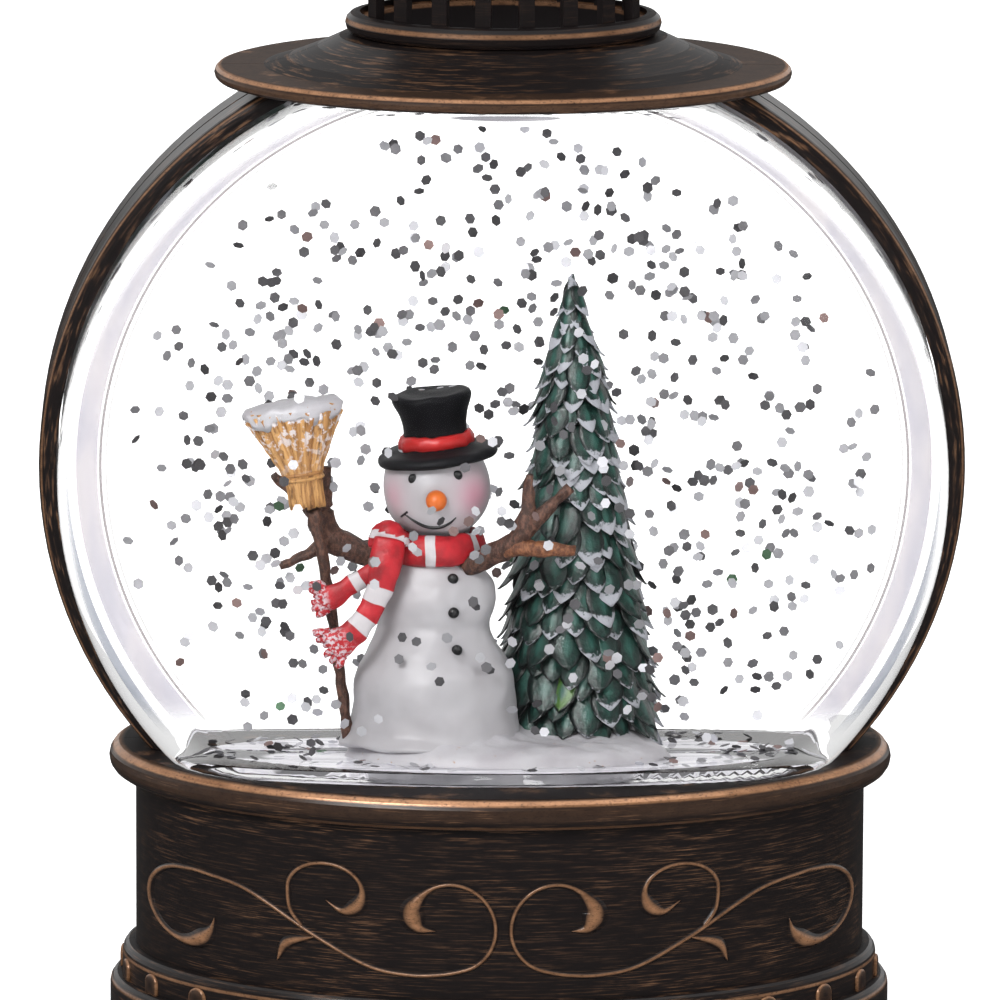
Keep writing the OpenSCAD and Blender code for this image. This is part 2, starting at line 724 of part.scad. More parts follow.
module base_cover() {
    slot = [3.3, switch_travel + 3.9];
    color([0.12, 0.09, 0.07]) difference() {
        union() {
            translate([0, 0, cover_z0]) oval() cylinder(r = cover_r, h = cover_t);
            translate([-box_x, -box_y, cover_z1 - eps]) cube([2 * box_x, 2 * box_y, box_top - cover_z1]);
            for (side = [-1, 1]) translate([-21, side * 7, box_top - eps])
                cylinder(r = 1.8, h = board_z - box_top);
        }
        translate([-box_x + box_wall, -box_y + box_wall, cover_z1])
            cube([2 * (box_x - box_wall), 2 * (box_y - box_wall), box_top - box_wall - cover_z1]);
        translate([-door_x, -door_y, cover_z0 - 1]) cube([2 * door_x, 2 * door_y, cover_t + 2]);
        translate([switch_x - slot[0] / 2, -slot[1] / 2, cover_z0 - 1]) cube([slot[0], slot[1], cover_t + 2]);
        at_corners(cover_post) translate([0, 0, cover_z0 - 1]) cylinder(r = cover_pilot_r + 0.25, h = 5);
        at_corners(cover_post) translate([0, 0, cover_z0 - 1]) cylinder(r = 2.8, h = 2.2);
        at_corners(foot_pos) translate([0, 0, cover_z0 - 1]) cylinder(r = 4.05, h = 1.6);
    }
}

module cover_screws() {
    color("silver") at_corners(cover_post) translate([0, 0, cover_z0 - 0.25])
        screw(2.6, 1.44, cover_pilot_r - 0.01, 9);
}

// Door hooked on its rear edge; it swings down about that edge.
module battery_door() {
    grip = 16;
    color([0.12, 0.09, 0.07]) difference() {
        union() {
            translate([-door_x + door_gap, -door_y + door_gap, cover_z0])
                cube([2 * (door_x - door_gap), 2 * door_y - 2 * door_gap + 0.1, door_t]);
            for (side = [-1, 1]) translate([side * 16 - 4, door_y - 2.4, cover_z0 + door_t - eps])
                cube([8, 2.2, 1.3]);
            for (side = [-1, 1]) translate([side * 16 - 4, door_y - 0.6, cover_z1 + 0.12])
                cube([8, 1.5, 0.93]);
        }
        for (i = [0 : 3]) translate([-grip / 2, -door_y + 3 + 1.6 * i, cover_z0 - 1]) cube([grip, 0.8, 1.5]);
    }
}

module batteries() {
    for (i = [-1 : 1])
        translate([0, i * cell_pitch, cell_z]) rotate([0, 90, 0]) scale([1, 1, i == 0 ? -1 : 1]) {
        color("steelblue") translate([0, 0, -cell_l / 2]) cylinder(r = cell_d / 2, h = cell_l);
        color("silver") translate([0, 0, cell_l / 2 - eps]) cylinder(r = 2.7, h = 1);
    }
}

// Contact plates at both ends of the bay, with a coil spring under each negative end.
module battery_contacts() {
    inner = box_x - box_wall;
    color("silver") for (i = [-1 : 1]) translate([0, i * cell_pitch, cell_z]) {
        spring = i == 0 ? 1 : -1;
        for (side = [-1, 1]) translate([side * (inner - 0.25) - 0.2, -5.5, -5.5]) cube([0.4, 11, 11]);
        for (turn = [0 : 2]) translate([spring * (inner - 1.1 - 1.1 * turn), 0, 0]) rotate([0, 90, 0])
            rotate_extrude() translate([4.2 - 0.9 * turn, 0]) circle(r = 0.6, $fn = 24);
    }
}

module rubber_feet() {
    color([0.1, 0.1, 0.1]) at_corners(foot_pos) cylinder(r = 4, h = cover_z0 + 0.59);
}

front_frame();
rear_frame();
drum_front();
drum_rear();
well_cup();
fill_plug();
well_grille();
impeller_pin();
impeller();
impeller_magnets();
snow_mound();
snowman_body();
snowman_head();
top_hat();
scarf();
left_arm();
right_arm();
broom();
fir_tree();
vent_cage();
roof_cap();
finial();
handle();
handle_rivets();
light_diffuser();
led_board();
leds();
drive_tray();
tray_screws();
motor();
motor_shaft();
drive_hub();
drive_magnets();
control_board();
board_parts();
socket_board();
power_socket();
switch_body();
switch_knob();
base_cover();
cover_screws();
battery_door();
batteries();
battery_contacts();
rubber_feet();
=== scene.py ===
"""Looks of the lantern-style snow globe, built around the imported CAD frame.

Lengths of the model are in millimetres until a mesh is made; the floor, the lights and the camera
are in metres. The housing's front faces -Y."""

import random
from math import atan2, cos, degrees, exp, hypot, pi, radians, sin, sqrt

import bpy
from mathutils import Matrix, Quaternion, Vector, noise


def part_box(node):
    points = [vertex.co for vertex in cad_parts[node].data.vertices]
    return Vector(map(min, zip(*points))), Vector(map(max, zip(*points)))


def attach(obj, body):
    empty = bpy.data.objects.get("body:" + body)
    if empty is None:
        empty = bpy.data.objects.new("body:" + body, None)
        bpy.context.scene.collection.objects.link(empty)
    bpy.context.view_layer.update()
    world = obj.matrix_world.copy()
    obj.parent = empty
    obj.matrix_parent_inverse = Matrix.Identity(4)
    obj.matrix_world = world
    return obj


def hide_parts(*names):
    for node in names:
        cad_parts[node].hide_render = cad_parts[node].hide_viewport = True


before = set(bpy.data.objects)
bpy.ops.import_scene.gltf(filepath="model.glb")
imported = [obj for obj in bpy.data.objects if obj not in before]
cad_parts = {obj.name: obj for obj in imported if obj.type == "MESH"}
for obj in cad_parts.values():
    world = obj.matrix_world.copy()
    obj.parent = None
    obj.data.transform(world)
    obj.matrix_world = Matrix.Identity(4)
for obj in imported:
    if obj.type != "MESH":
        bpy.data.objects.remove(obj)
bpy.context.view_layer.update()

MM = 0.001
UP = Vector((0, 0, 1))
HOUSING = "housing"


def corner_mm(node):
    """Lowest and highest corner of a CAD node, in millimetres."""
    lo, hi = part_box(node)
    return Vector(lo) / MM, Vector(hi) / MM


# ---- Sizes taken from the frame ----------------------------------------------------

drum_lo, drum_hi = corner_mm("drum_front")
mound_lo, mound_hi = corner_mm("snow_mound")
body_lo, body_hi = corner_mm("snowman_body")

PLAN_RATIO = 0.7
RING_R = corner_mm("front_frame")[1].x
RING_RATIO = 139 / 145
RING_Z = 97.2
BODY_R = 57.5
STEP_R = 59.6
STEP_CREST = 17.9
FOOT_CREST = 13.4
PLATE_TOP = drum_lo.z
BRIM_Z = drum_hi.z + 0.2
DRUM_R = drum_hi.x
DRUM_DEPTH = -drum_lo.y
DRUM_DOME_R = 190
DRUM_CORNER_R = 12
DRUM_WALL = 2.6
DRUM_FLOOR = 2
DRUM_EDGE_BLEND = 2.2
DRUM_STEPS = 240
FLOOR_Z = PLATE_TOP + DRUM_FLOOR


# ---- Shader graphs -----------------------------------------------------------------


class Graph:
    """The node tree of a material, or of a world, with one short call per kind of node."""

    def __init__(self, name, world=None):
        self.material = world or bpy.data.materials.new(name)
        self.material.use_nodes = True
        self.tree = self.material.node_tree
        self.tree.nodes.clear()
        kind = "ShaderNodeOutputWorld" if world else "ShaderNodeOutputMaterial"
        self.output = self.tree.nodes.new(kind)

    def node(self, kind, inputs=None, **settings):
        made = self.tree.nodes.new(kind)
        for key, value in settings.items():
            setattr(made, key, value)
        for key, value in (inputs or {}).items():
            self.feed(made.inputs[key], value)
        return made

    def feed(self, socket, value):
        if isinstance(value, bpy.types.NodeSocket):
            self.tree.links.new(value, socket)
        elif hasattr(value, "__len__") and len(socket.default_value) == 4 and len(value) == 3:
            socket.default_value = (*value, 1)
        else:
            socket.default_value = value

    def math(self, operation, a, b=0.0, clamp=False):
        made = self.node("ShaderNodeMath", {0: a, 1: b}, operation=operation, use_clamp=clamp)
        return made.outputs[0]

    def times(self, a, b):
        return self.math("MULTIPLY", a, b)

    def most(self, a, b, clamp=False):
        return self.math("MAXIMUM", a, b, clamp)

    def gap(self, a, b):
        """How far apart two values are."""
        return self.math("ABSOLUTE", self.math("SUBTRACT", a, b))

    def hypot(self, a, b):
        return self.math("SQRT", self.math("ADD", self.times(a, a), self.times(b, b)))

    def show(self, shader):
        """Makes a shader node the look of the material or world."""
        self.tree.links.new(shader.outputs[0], self.output.inputs[0])
        return self.material

    def smooth(self, value, low, high):
        """0 below low, 1 above high; low may be the larger one."""
        made = self.node("ShaderNodeMapRange", {"Value": value, "From Min": low, "From Max": high},
                         interpolation_type="SMOOTHSTEP")
        return made.outputs[0]

    def mix(self, factor, a, b):
        made = self.node("ShaderNodeMix", data_type="RGBA")
        self.feed(made.inputs[0], factor)
        self.feed(made.inputs[6], a)
        self.feed(made.inputs[7], b)
        return made.outputs[2]

    def value_mix(self, factor, a, b):
        made = self.node("ShaderNodeMix", data_type="FLOAT")
        self.feed(made.inputs[0], factor)
        self.feed(made.inputs[2], a)
        self.feed(made.inputs[3], b)
        return made.outputs[0]

    def place(self, scale=(1, 1, 1)):
        """Object coordinates in millimetres, stretched by scale."""
        coords = self.node("ShaderNodeTexCoord").outputs["Object"]
        inputs = {0: coords, 1: [s / MM for s in scale]}
        made = self.node("ShaderNodeVectorMath", inputs, operation="MULTIPLY")
        return made.outputs[0]

    def axes(self, vector):
        return self.node("ShaderNodeSeparateXYZ", {0: vector}).outputs

    def join(self, x, y, z):
        return self.node("ShaderNodeCombineXYZ", {0: x, 1: y, 2: z}).outputs[0]

    def noise(self, vector, scale=1.0, detail=3.0, rough=0.55):
        made = self.node("ShaderNodeTexNoise",
                         {"Vector": vector, "Scale": scale, "Detail": detail, "Roughness": rough})
        return made.outputs["Fac"]

    def attribute(self, name):
        return self.node("ShaderNodeAttribute", attribute_name=name).outputs["Fac"]

    def bump(self, height, strength, distance):
        made = self.node("ShaderNodeBump",
                         {"Height": height, "Strength": strength, "Distance": distance * MM})
        return made.outputs[0]

    def surface(self, color, roughness, metallic=0.0, normal=None, **more):
        inputs = {"Base Color": color, "Roughness": roughness, "Metallic": metallic}
        if normal is not None:
            inputs["Normal"] = normal
        inputs.update({key.replace("_", " "): value for key, value in more.items()})
        shader = self.node("ShaderNodeBsdfPrincipled", inputs)
        return self.show(shader)


# ---- Materials ---------------------------------------------------------------------


def ring_place(g, x, z, lean=0.0):
    """Height over the ring's middle, as if the ring were round, and distance from its middle."""
    up = g.math("DIVIDE", g.math("SUBTRACT", g.math("SUBTRACT", z, RING_Z), lean), RING_RATIO)
    return up, g.hypot(x, up)


def bronze_material():
    """Near-black bronze, brushed with fine copper streaks, and bare copper where edges stand proud. Copper
    bands at set heights are partly dry brush and partly painted highlight; faces turned inward above the brim
    keep no streaks, a painted shade.
    """
    g = Graph("bronze_dry_brushed")
    x, y, z = g.axes(g.place())

    flat_streaks = g.noise(g.place((0.16, 0.16, 5.0)), detail=5, rough=0.65)
    flat_patches = g.noise(g.place((0.05, 0.05, 0.12)), detail=2)

    up, radius = ring_place(g, x, z)
    angle = g.node("ShaderNodeMath", {0: up, 1: x}, operation="ARCTAN2").outputs[0]
    across = g.join(g.times(angle, 17.0), g.times(y, 2.2), g.times(radius, 2.2))
    ring_streaks = g.noise(across, detail=4)

    above_plate = g.smooth(z, PLATE_TOP + 0.2, PLATE_TOP + 0.6)
    below_brim = g.smooth(z, BRIM_Z - 0.1, BRIM_Z - 0.5)
    on_ring = g.times(above_plate, below_brim)

    streak = g.smooth(g.value_mix(on_ring, flat_streaks, ring_streaks), 0.50, 0.74)
    patch = g.smooth(flat_patches, 0.42, 0.66)
    brushed = g.times(streak, g.math("ADD", 0.13, g.times(patch, 0.36)))
    normal_axes = g.axes(g.node("ShaderNodeNewGeometry").outputs["Normal"])
    outward = g.math("ADD", g.times(x, normal_axes["X"]), g.times(y, normal_axes["Y"]))
    # Faces turned inward above the brim keep no copper streaks: painted shade inside the collar and cage. The
    # cage bars are left mostly unbrushed too.
    inner_shade = g.times(g.smooth(outward, -1, -4), g.smooth(z, BRIM_Z + 4, BRIM_Z + 6))
    cage_lo, cage_hi = corner_mm("vent_cage")
    over_collar = g.smooth(z, cage_lo.z + 2, cage_lo.z + 3)
    bars = g.times(over_collar, g.smooth(z, cage_hi.z, cage_hi.z - 1))
    unbrushed_or_shaded = g.most(inner_shade, g.times(bars, 0.8))
    brushed = g.times(brushed, g.math("SUBTRACT", 1.0, unbrushed_or_shaded))

    depth = g.math("ABSOLUTE", y)
    rim = g.times(g.smooth(radius, RING_R - 0.7, RING_R - 0.3), g.smooth(depth, 8.3, 8.9))
    proud = g.times(g.times(rim, on_ring), 0.8)
    # Copper bands at set heights, kept off faces turned down: dry brush on the crests and painted highlight
    # where light from above falls.
    not_below = g.smooth(normal_axes["Z"], -0.9, -0.6)
    for height, half, strength in wear_and_highlight_heights():
        band = g.smooth(g.gap(z, height), half, half * 0.3)
        band = g.times(band, not_below)
        proud = g.most(proud, g.times(band, strength))
    proud = g.most(proud, g.attribute("wear"))
    grain = g.noise(g.place((0.9, 0.9, 1.8)), scale=2.2, detail=4)
    edge = g.times(proud, g.smooth(grain, 0.16, 0.52))

    copper = g.most(brushed, edge, clamp=True)
    tint = g.noise(g.place((0.4, 0.4, 0.9)), detail=2)
    copper_color = g.mix(tint, (0.15, 0.068, 0.032), (0.58, 0.30, 0.155))
    color = g.mix(copper, (0.0094, 0.0073, 0.0073), copper_color)
    height = g.times(flat_streaks, 0.5)
    normal = g.bump(g.math("ADD", height, g.times(grain, 0.4)), 0.22, 0.1)
    flat = g.smooth(normal_axes["Z"], 0.85, 0.98)
    dull = g.math("SUBTRACT", 1.0, g.times(flat, 0.75))
    gloss = g.times(g.value_mix(copper, 0.22, 0.5), dull)
    rough = g.math("ADD", 0.28, g.times(flat, 0.25))
    return g.surface(color, rough, g.times(copper, 0.5), normal, Specular_IOR_Level=gloss)


def wear_and_highlight_heights():
    """Height, half width and strength of the crests painted copper: partly what the dry brush catches, partly
    painted highlight where light from above catches the shoulders.
    """
    eave_z = corner_mm("roof_cap")[0].z + 1.6
    return [(PLATE_TOP - 0.6, 0.6, 1.0), (PLATE_TOP - 2.2, 1.9, 0.07), (PLATE_TOP - 4.6, 0.4, 0.35),
            (BRIM_Z + 2.05, 0.4, 0.9), (BRIM_Z + 1.0, 0.9, 0.14), (BRIM_Z + 9.6, 0.5, 0.55),
            (STEP_CREST, 0.35, 0.5), (FOOT_CREST, 0.4, 0.4), (eave_z, 0.5, 0.8)]


def plastic(name, color, roughness, bump=0.0, scale=1.5, gloss=0.5):
    """Moulded plastic with a faint cloudiness and grain."""
    g = Graph(name)
    cloud = g.noise(g.place(), scale=scale * 0.12, detail=2)
    grain = g.noise(g.place(), scale=scale, detail=4)
    darker = [c * 0.8 for c in color]
    shade = g.mix(g.smooth(cloud, 0.35, 0.65), darker, color)
    normal = g.bump(grain, bump, 0.1) if bump else None
    cloudy = g.value_mix(grain, roughness * 0.85, roughness * 1.15)
    return g.surface(shade, cloudy, 0.0, normal, Specular_IOR_Level=gloss)


def metal(name, color, roughness):
    g = Graph(name)
    brushed = g.noise(g.place((0.4, 0.4, 6)), detail=3)
    shade = g.mix(brushed, [c * 0.75 for c in color], color)
    return g.surface(shade, g.value_mix(brushed, roughness, roughness * 1.5), 1.0)


def clear_material(name, ior, painted_rim=False):
    """Refracts what the camera sees, and lets shadow and diffuse rays straight through."""
    g = Graph(name)
    glass = g.node("ShaderNodeBsdfGlass", {"IOR": ior, "Roughness": 0.0}).outputs[0]
    through = g.node("ShaderNodeBsdfTransparent", {"Color": (0.98, 0.98, 0.98)})
    ray = g.node("ShaderNodeLightPath").outputs
    if painted_rim:
        # Camera rays see a painted diffuse band in the drum's rounded corner instead of glass: painted
        # refraction of the thick wall.
        painted_refraction, color = painted_rim_refraction(g)
        paint = g.node("ShaderNodeBsdfDiffuse", {"Color": color})
        amount = g.times(painted_refraction, ray["Is Camera Ray"])
        glass = g.node("ShaderNodeMixShader", {0: amount, 1: glass, 2: paint.outputs[0]}).outputs[0]
    skip = g.most(ray["Is Shadow Ray"], ray["Is Diffuse Ray"])
    mixed = g.node("ShaderNodeMixShader", {0: skip, 1: glass, 2: through.outputs[0]})
    return g.show(mixed)


def painted_rim_refraction(g):
    """Painted refraction in the rounded corner of the drum: a milky band and fine dark and blue-grey lines
    that stand in for the view bent by the thick wall, as an amount and a colour.
    """
    x, y, z = g.axes(g.place())
    lean = g.times(g.math("SUBTRACT", g.math("ABSOLUTE", y), 6.7), 0.216)
    radius = ring_place(g, x, z, lean)[1]
    amount = 0.0
    painted_bands = [(64.65, 1.95, 0.75), (62.5, 0.24, 0.8), (61.6, 0.17, 0.45), (68.4, 0.8, 0.8)]
    for middle, half, strength in painted_bands:
        band = g.smooth(g.gap(radius, middle), half, half * 0.75)
        amount = g.most(amount, g.times(band, strength))
    in_corner = g.smooth(g.math("ABSOLUTE", y), 23, 26)
    amount = g.times(amount, g.times(in_corner, g.smooth(z, PLATE_TOP + 6, PLATE_TOP + 14)))
    cloud = g.noise(g.place((0.12, 0.12, 0.05)), detail=2)
    milky = g.mix(g.smooth(cloud, 0.35, 0.65), (0.33, 0.31, 0.37), (0.43, 0.39, 0.42))
    dark = g.smooth(g.gap(radius, 62.0), 0.75, 0.7)
    color = g.mix(dark, milky, (0.20, 0.17, 0.18))
    color = g.mix(g.smooth(radius, 67.0, 67.4), color, (0.24, 0.26, 0.31))
    return amount, color


def frosted_glow_material():
    """Milky flats under and on top of the drum, with a painted glow that keeps them light where the mound
    shades them, and a painted dark arc behind the mound that stands in for a dark reflection seen through the
    floor.
    """
    g = Graph("drum_flats_milky_glow")
    arc_wide, arc_deep, arc_forward = 45.0, 17.0, 6.0
    x, y, _ = g.axes(g.place())
    across = g.math("DIVIDE", x, arc_wide)
    along = g.math("DIVIDE", g.math("ADD", y, arc_forward), arc_deep)
    reach = g.hypot(across, along)
    # Dark ring behind the mound: a painted dark reflection seen through the floor.
    ring = g.smooth(g.gap(reach, 0.92), 0.15, 0.1)
    arc = g.times(ring, g.smooth(y, -12, -8))
    ripple = g.noise(g.place((0.06, 0.5, 1)), detail=3)
    milky = g.mix(g.smooth(ripple, 0.4, 0.62), (0.46, 0.45, 0.49), (0.72, 0.71, 0.75))
    color = g.mix(arc, milky, (0.035, 0.035, 0.04))
    # The emission is a painted glow that keeps the flats light where the mound shades them.
    return g.surface(color, 0.4, Emission_Color=color, Emission_Strength=0.55)


def seam_material():
    """The weld between the drum's halves, which the eye doesn't see."""
    g = Graph("clear_weld")
    through = g.node("ShaderNodeBsdfTransparent", {"Color": (1, 1, 1)})
    return g.show(through)


# ---- Mesh making -------------------------------------------------------------------


class Bag:
    """Gathers vertices in millimetres, faces, a material number per face and named values per vertex."""

    def __init__(self):
        self.verts = []
        self.faces = []
        self.mats = []
        self.values = {}

    def add(self, verts, faces, mat=0, **values):
        start = len(self.verts)
        self.verts += [Vector(v) for v in verts]
        self.faces += [[start + i for i in face] for face in faces]
        self.mats += [mat] * len(faces)
        for key, numbers in values.items():
            held = self.values.setdefault(key, {})
            for i, number in enumerate(numbers):
                held[start + i] = number

    def piece(self, name, materials, replaces=(), smooth=True):
        mesh = bpy.data.meshes.new(name)
        mesh.from_pydata([v * MM for v in self.verts], [], self.faces)
        for material in materials:
            mesh.materials.append(material)
        mesh.polygons.foreach_set("material_index", self.mats)
        mesh.polygons.foreach_set("use_smooth", [smooth] * len(self.faces))
        for key, held in self.values.items():
            layer = mesh.attributes.new(key, "FLOAT", "POINT")
            layer.data.foreach_set("value", [held.get(i, 0.0) for i in range(len(self.verts))])
        mesh.validate()
        made = bpy.data.objects.new(name, mesh)
        bpy.context.scene.collection.objects.link(made)
        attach(made, HOUSING)
        if replaces:
            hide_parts(*replaces)
        return made


def angles(steps):
    """Evenly spaced angles once round."""
    return [2 * pi * j / steps for j in range(steps)]


def grid_faces(rows, columns, wrap=True, flip=False):
    """Quads of a grid of vertices listed row by row; wrap joins the last column to the first."""
    faces = []
    for i in range(rows - 1):
        for j in range(columns if wrap else columns - 1):
            k = (j + 1) % columns
            face = [i * columns + j, i * columns + k, (i + 1) * columns + k, (i + 1) * columns + j]
            faces.append(face[::-1] if flip else face)
    return faces


def closed_faces(rows, columns):
    """Quads of a grid that wraps round, with a face over each end."""
    first, last = range(columns), range((rows - 1) * columns, rows * columns)
    return grid_faces(rows, columns) + [list(first)[::-1], list(last)]


def hoop_faces(rows, columns):
    """Quads of a grid that wraps round both ways."""
    faces = grid_faces(rows, columns)
    last = (rows - 1) * columns
    for j in range(columns):
        k = (j + 1) % columns
        faces.append([k, j, last + j, last + k])
    return faces


def revolve(profile, steps, centre=(0, 0)):
    """Turns (radius, height) points about a vertical axis. Both ends are closed."""
    verts = []
    for radius, height in profile:
        for a in angles(steps):
            verts.append((centre[0] + radius * cos(a), centre[1] + radius * sin(a), height))
    return verts, closed_faces(len(profile), steps)


def spline(points, steps):
    """Catmull-Rom curve through the points, steps pieces between two of them."""
    points = [Vector(p) for p in points]
    ends = [2 * points[0] - points[1]] + points + [2 * points[-1] - points[-2]]
    curve = []
    for a, b, c, d in zip(ends, ends[1:], ends[2:], ends[3:]):
        for i in range(steps):
            t = i / steps
            curve.append(0.5 * (2 * b + (c - a) * t + (2 * a - 5 * b + 4 * c - d) * t * t
                                + (3 * b - a - 3 * c + d) * t ** 3))
    curve.append(points[-1])
    return curve


def tube(path, radii, sides=10, squash=1.0, turn=UP):
    """Sweeps a circle along a path and closes both ends. turn is a direction that the sides follow."""
    verts = []
    for i, here in enumerate(path):
        ahead = path[min(i + 1, len(path) - 1)] - path[max(i - 1, 0)]
        side = ahead.cross(turn)
        side = side.normalized() if side.length > 1e-6 else Vector((1, 0, 0))
        other = side.cross(ahead).normalized()
        for a in angles(sides):
            verts.append(here + radii[i] * (side * cos(a) + other * sin(a) * squash))
    return verts, closed_faces(len(path), sides)


def swept(values, steps, count):
    """count values that run smoothly through the given ones."""
    curve = spline([(value, 0, 0) for value in values], steps)
    return [curve[round(i * (len(curve) - 1) / (count - 1))].x for i in range(count)]


def flat_spline(points, steps):
    return spline([(x, y, 0) for x, y in points], steps)


def turned(points, steps):
    """A smooth (radius, height) profile that never quite reaches the axis."""
    return [(max(p.x, 0.02), p.y) for p in flat_spline(points, steps)]


def ball(centre, radius, scale=(1, 1, 1), rings=10, steps=16):
    """A closed sphere, or an ellipsoid with scale."""
    verts = [Vector(centre) - UP * radius * scale[2]]
    for i in range(1, rings):
        e = pi * (i / rings - 0.5)
        for a in angles(steps):
            offset = (cos(e) * cos(a) * scale[0], cos(e) * sin(a) * scale[1],
                      sin(e) * scale[2])
            verts.append(Vector(centre) + radius * Vector(offset))
    verts.append(Vector(centre) + UP * radius * scale[2])
    faces = [[0, 1 + (j + 1) % steps, 1 + j] for j in range(steps)]
    for face in grid_faces(rings - 1, steps):
        faces.append([i + 1 for i in face])
    last = len(verts) - 1
    faces += [[last, last - steps + j, last - steps + (j + 1) % steps] for j in range(steps)]
    return verts, faces


# ---- Drum --------------------------------------------------------------------------


def drum_profile(inset, rim_steps=10, corner_steps=22, dome_steps=46):
    """Radius and depth from the rim to the middle of a domed face."""
    corner = DRUM_CORNER_R - inset
    dome = DRUM_DOME_R - inset
    centre_y = DRUM_DEPTH - DRUM_DOME_R
    corner_x = DRUM_R - DRUM_CORNER_R
    corner_y = centre_y + sqrt((dome - corner) ** 2 - corner_x ** 2)
    join = atan2(corner_x, corner_y - centre_y)
    points = [(DRUM_R - inset, 0.01 + (corner_y - 0.01) * i / rim_steps) for i in range(rim_steps)]
    for i in range(corner_steps):
        a = (pi / 2 - join) * i / corner_steps
        points.append((corner_x + corner * cos(a), corner_y + corner * sin(a)))
    for i in range(dome_steps):
        a = join * (1 - i / dome_steps)
        points.append((dome * sin(a), centre_y + dome * cos(a)))
    return points, centre_y + dome


def soft_min(a, b, blend):
    h = max(blend - abs(a - b), 0) / blend
    return min(a, b) - h * h * blend / 4


def drum_skin(inset, low, high, side):
    """One skin of half a drum: rows from the seam to the dome's middle, cut flat at low and high."""
    points, apex = drum_profile(inset)
    columns = DRUM_STEPS
    verts = []
    for radius, depth in points:
        for a in angles(columns):
            dx, dz = cos(a), sin(a) * RING_RATIO
            limit = (high - RING_Z) / dz if dz > 1e-6 else (low - RING_Z) / dz if dz < -1e-6 else 1e6
            reach = soft_min(radius, min(limit, 1e3), DRUM_EDGE_BLEND)
            verts.append((reach * dx, side * depth, RING_Z + reach * dz))
    faces = grid_faces(len(points), columns)
    verts.append((0, side * apex, RING_Z))
    start = (len(points) - 1) * columns
    faces += [[start + j, start + (j + 1) % columns, len(verts) - 1] for j in range(columns)]
    return verts, faces


WALL, WET_WALL, WELD, FLAT_ENDS = range(4)


def build_drum_half(name, node, side, materials):
    bag = Bag()
    skin, faces = drum_skin(0, PLATE_TOP, drum_hi.z, side)
    flip = side > 0
    bag.add(skin, [f[::-1] for f in faces] if flip else faces, WALL)
    for i, face in enumerate(faces):
        heights = [skin[k][2] for k in face]
        if max(heights) < PLATE_TOP + 0.15 or min(heights) > drum_hi.z - 0.15:
            bag.mats[i] = FLAT_ENDS
    hollow, faces = drum_skin(DRUM_WALL, FLOOR_Z, drum_hi.z - DRUM_FLOOR, side)
    start = len(bag.verts)
    bag.add(hollow, faces if flip else [f[::-1] for f in faces], WET_WALL)
    for j in range(DRUM_STEPS):
        k = (j + 1) % DRUM_STEPS
        face = [j, start + j, start + k, k]
        bag.faces.append(face[::-1] if flip else face)
    bag.mats += [WELD] * DRUM_STEPS
    return bag.piece(name, materials, replaces=[node])


# ---- Snowman -----------------------------------------------------------------------

SNOW_AXIS = Vector(((body_lo.x + body_hi.x) / 2, (body_lo.y + body_hi.y) / 2, 0))
FOOT_Z = body_lo.z
HEAD_R = 8.0
HEAD = Vector((SNOW_AXIS.x + 0.2, SNOW_AXIS.y, FOOT_Z + 38.2))
VIEW_TILT = radians(9.2)
TO_VIEWER = Vector((0, -cos(VIEW_TILT), sin(VIEW_TILT)))
VIEW_UP = Vector((0, sin(VIEW_TILT), cos(VIEW_TILT)))


# Without a seed of its own, noise_vector starts from the clock and differs from run to run.
noise.seed_set(1)


def wobble(point, scale, strength, seed=0.0):
    """A smooth offset that varies over space and is the same on every run."""
    return noise.noise_vector(Vector(point) * scale + Vector((seed, seed * 1.7, 0))) * strength


def roughen(verts, scale, strength, seed=0.0):
    return [Vector(v) + wobble(v, scale, strength, seed) for v in verts]


def snow_material(name, color, shade, bump=0.25, sparkle=False):
    """Painted snow, a little darker in broad patches. The blush attribute turns it pink."""
    g = Graph(name)
    cloud = g.noise(g.place(), scale=0.16, detail=3)
    grain = g.noise(g.place(), scale=2.2, detail=5)
    base = g.mix(g.smooth(cloud, 0.35, 0.7), color, shade)
    base = g.mix(g.attribute("blush"), base, (0.56, 0.22, 0.30))
    if sparkle:
        specks = g.noise(g.place(), scale=1.1, detail=2)
        base = g.mix(g.smooth(specks, 0.68, 0.74), base, (0.42, 0.30, 0.24))
    return g.surface(base, g.value_mix(grain, 0.35, 0.55), 0.0, g.bump(grain, bump, 0.12),
                     Subsurface_Weight=0.15, Subsurface_Radius=(0.002, 0.0018, 0.0016), Subsurface_Scale=1.0)


def build_snowman_body(porcelain, black):
    profile = turned([(0, -1.6), (13.3, -1.5), (12.9, 1.2), (12.3, 5.5), (12.0, 9.5), (10.6, 13.0),
                      (8.9, 15.9), (8.3, 17.6), (8.6, 19.4), (8.8, 21.4), (8.2, 24.2), (6.8, 26.6),
                      (5.2, 28.4), (4.5, 30.3), (0.02, 30.5)], 7)
    verts, faces = revolve([(radius, FOOT_Z + up) for radius, up in profile], 96, SNOW_AXIS)
    bag = Bag()
    bag.add(roughen(roughen(verts, 0.16, 0.7, 3), 0.5, 0.12, 8), faces)
    for u, up, torso in ((2.5, 25.3, 7.4), (2.6, 20.3, 8.8), (3.1, 14.6, 9.6)):
        out = Vector((u, -sqrt(torso ** 2 - u ** 2), 0))
        place = SNOW_AXIS + UP * (FOOT_Z + up) + out
        bag.add(*ball(place, 0.85, (1, 0.75, 1)), 1)
    return bag.piece("snowman_body_painted", [porcelain, black],
                     replaces=["snowman_body"])


def on_face(u, v, lift=0.0):
    """Point of the head that the viewer sees u to the right of and v above its middle."""
    depth = sqrt(max(HEAD_R ** 2 - u * u - v * v, 0))
    out = Vector((u, 0, 0)) + VIEW_UP * v + TO_VIEWER * depth
    return HEAD + out.normalized() * (HEAD_R + lift)


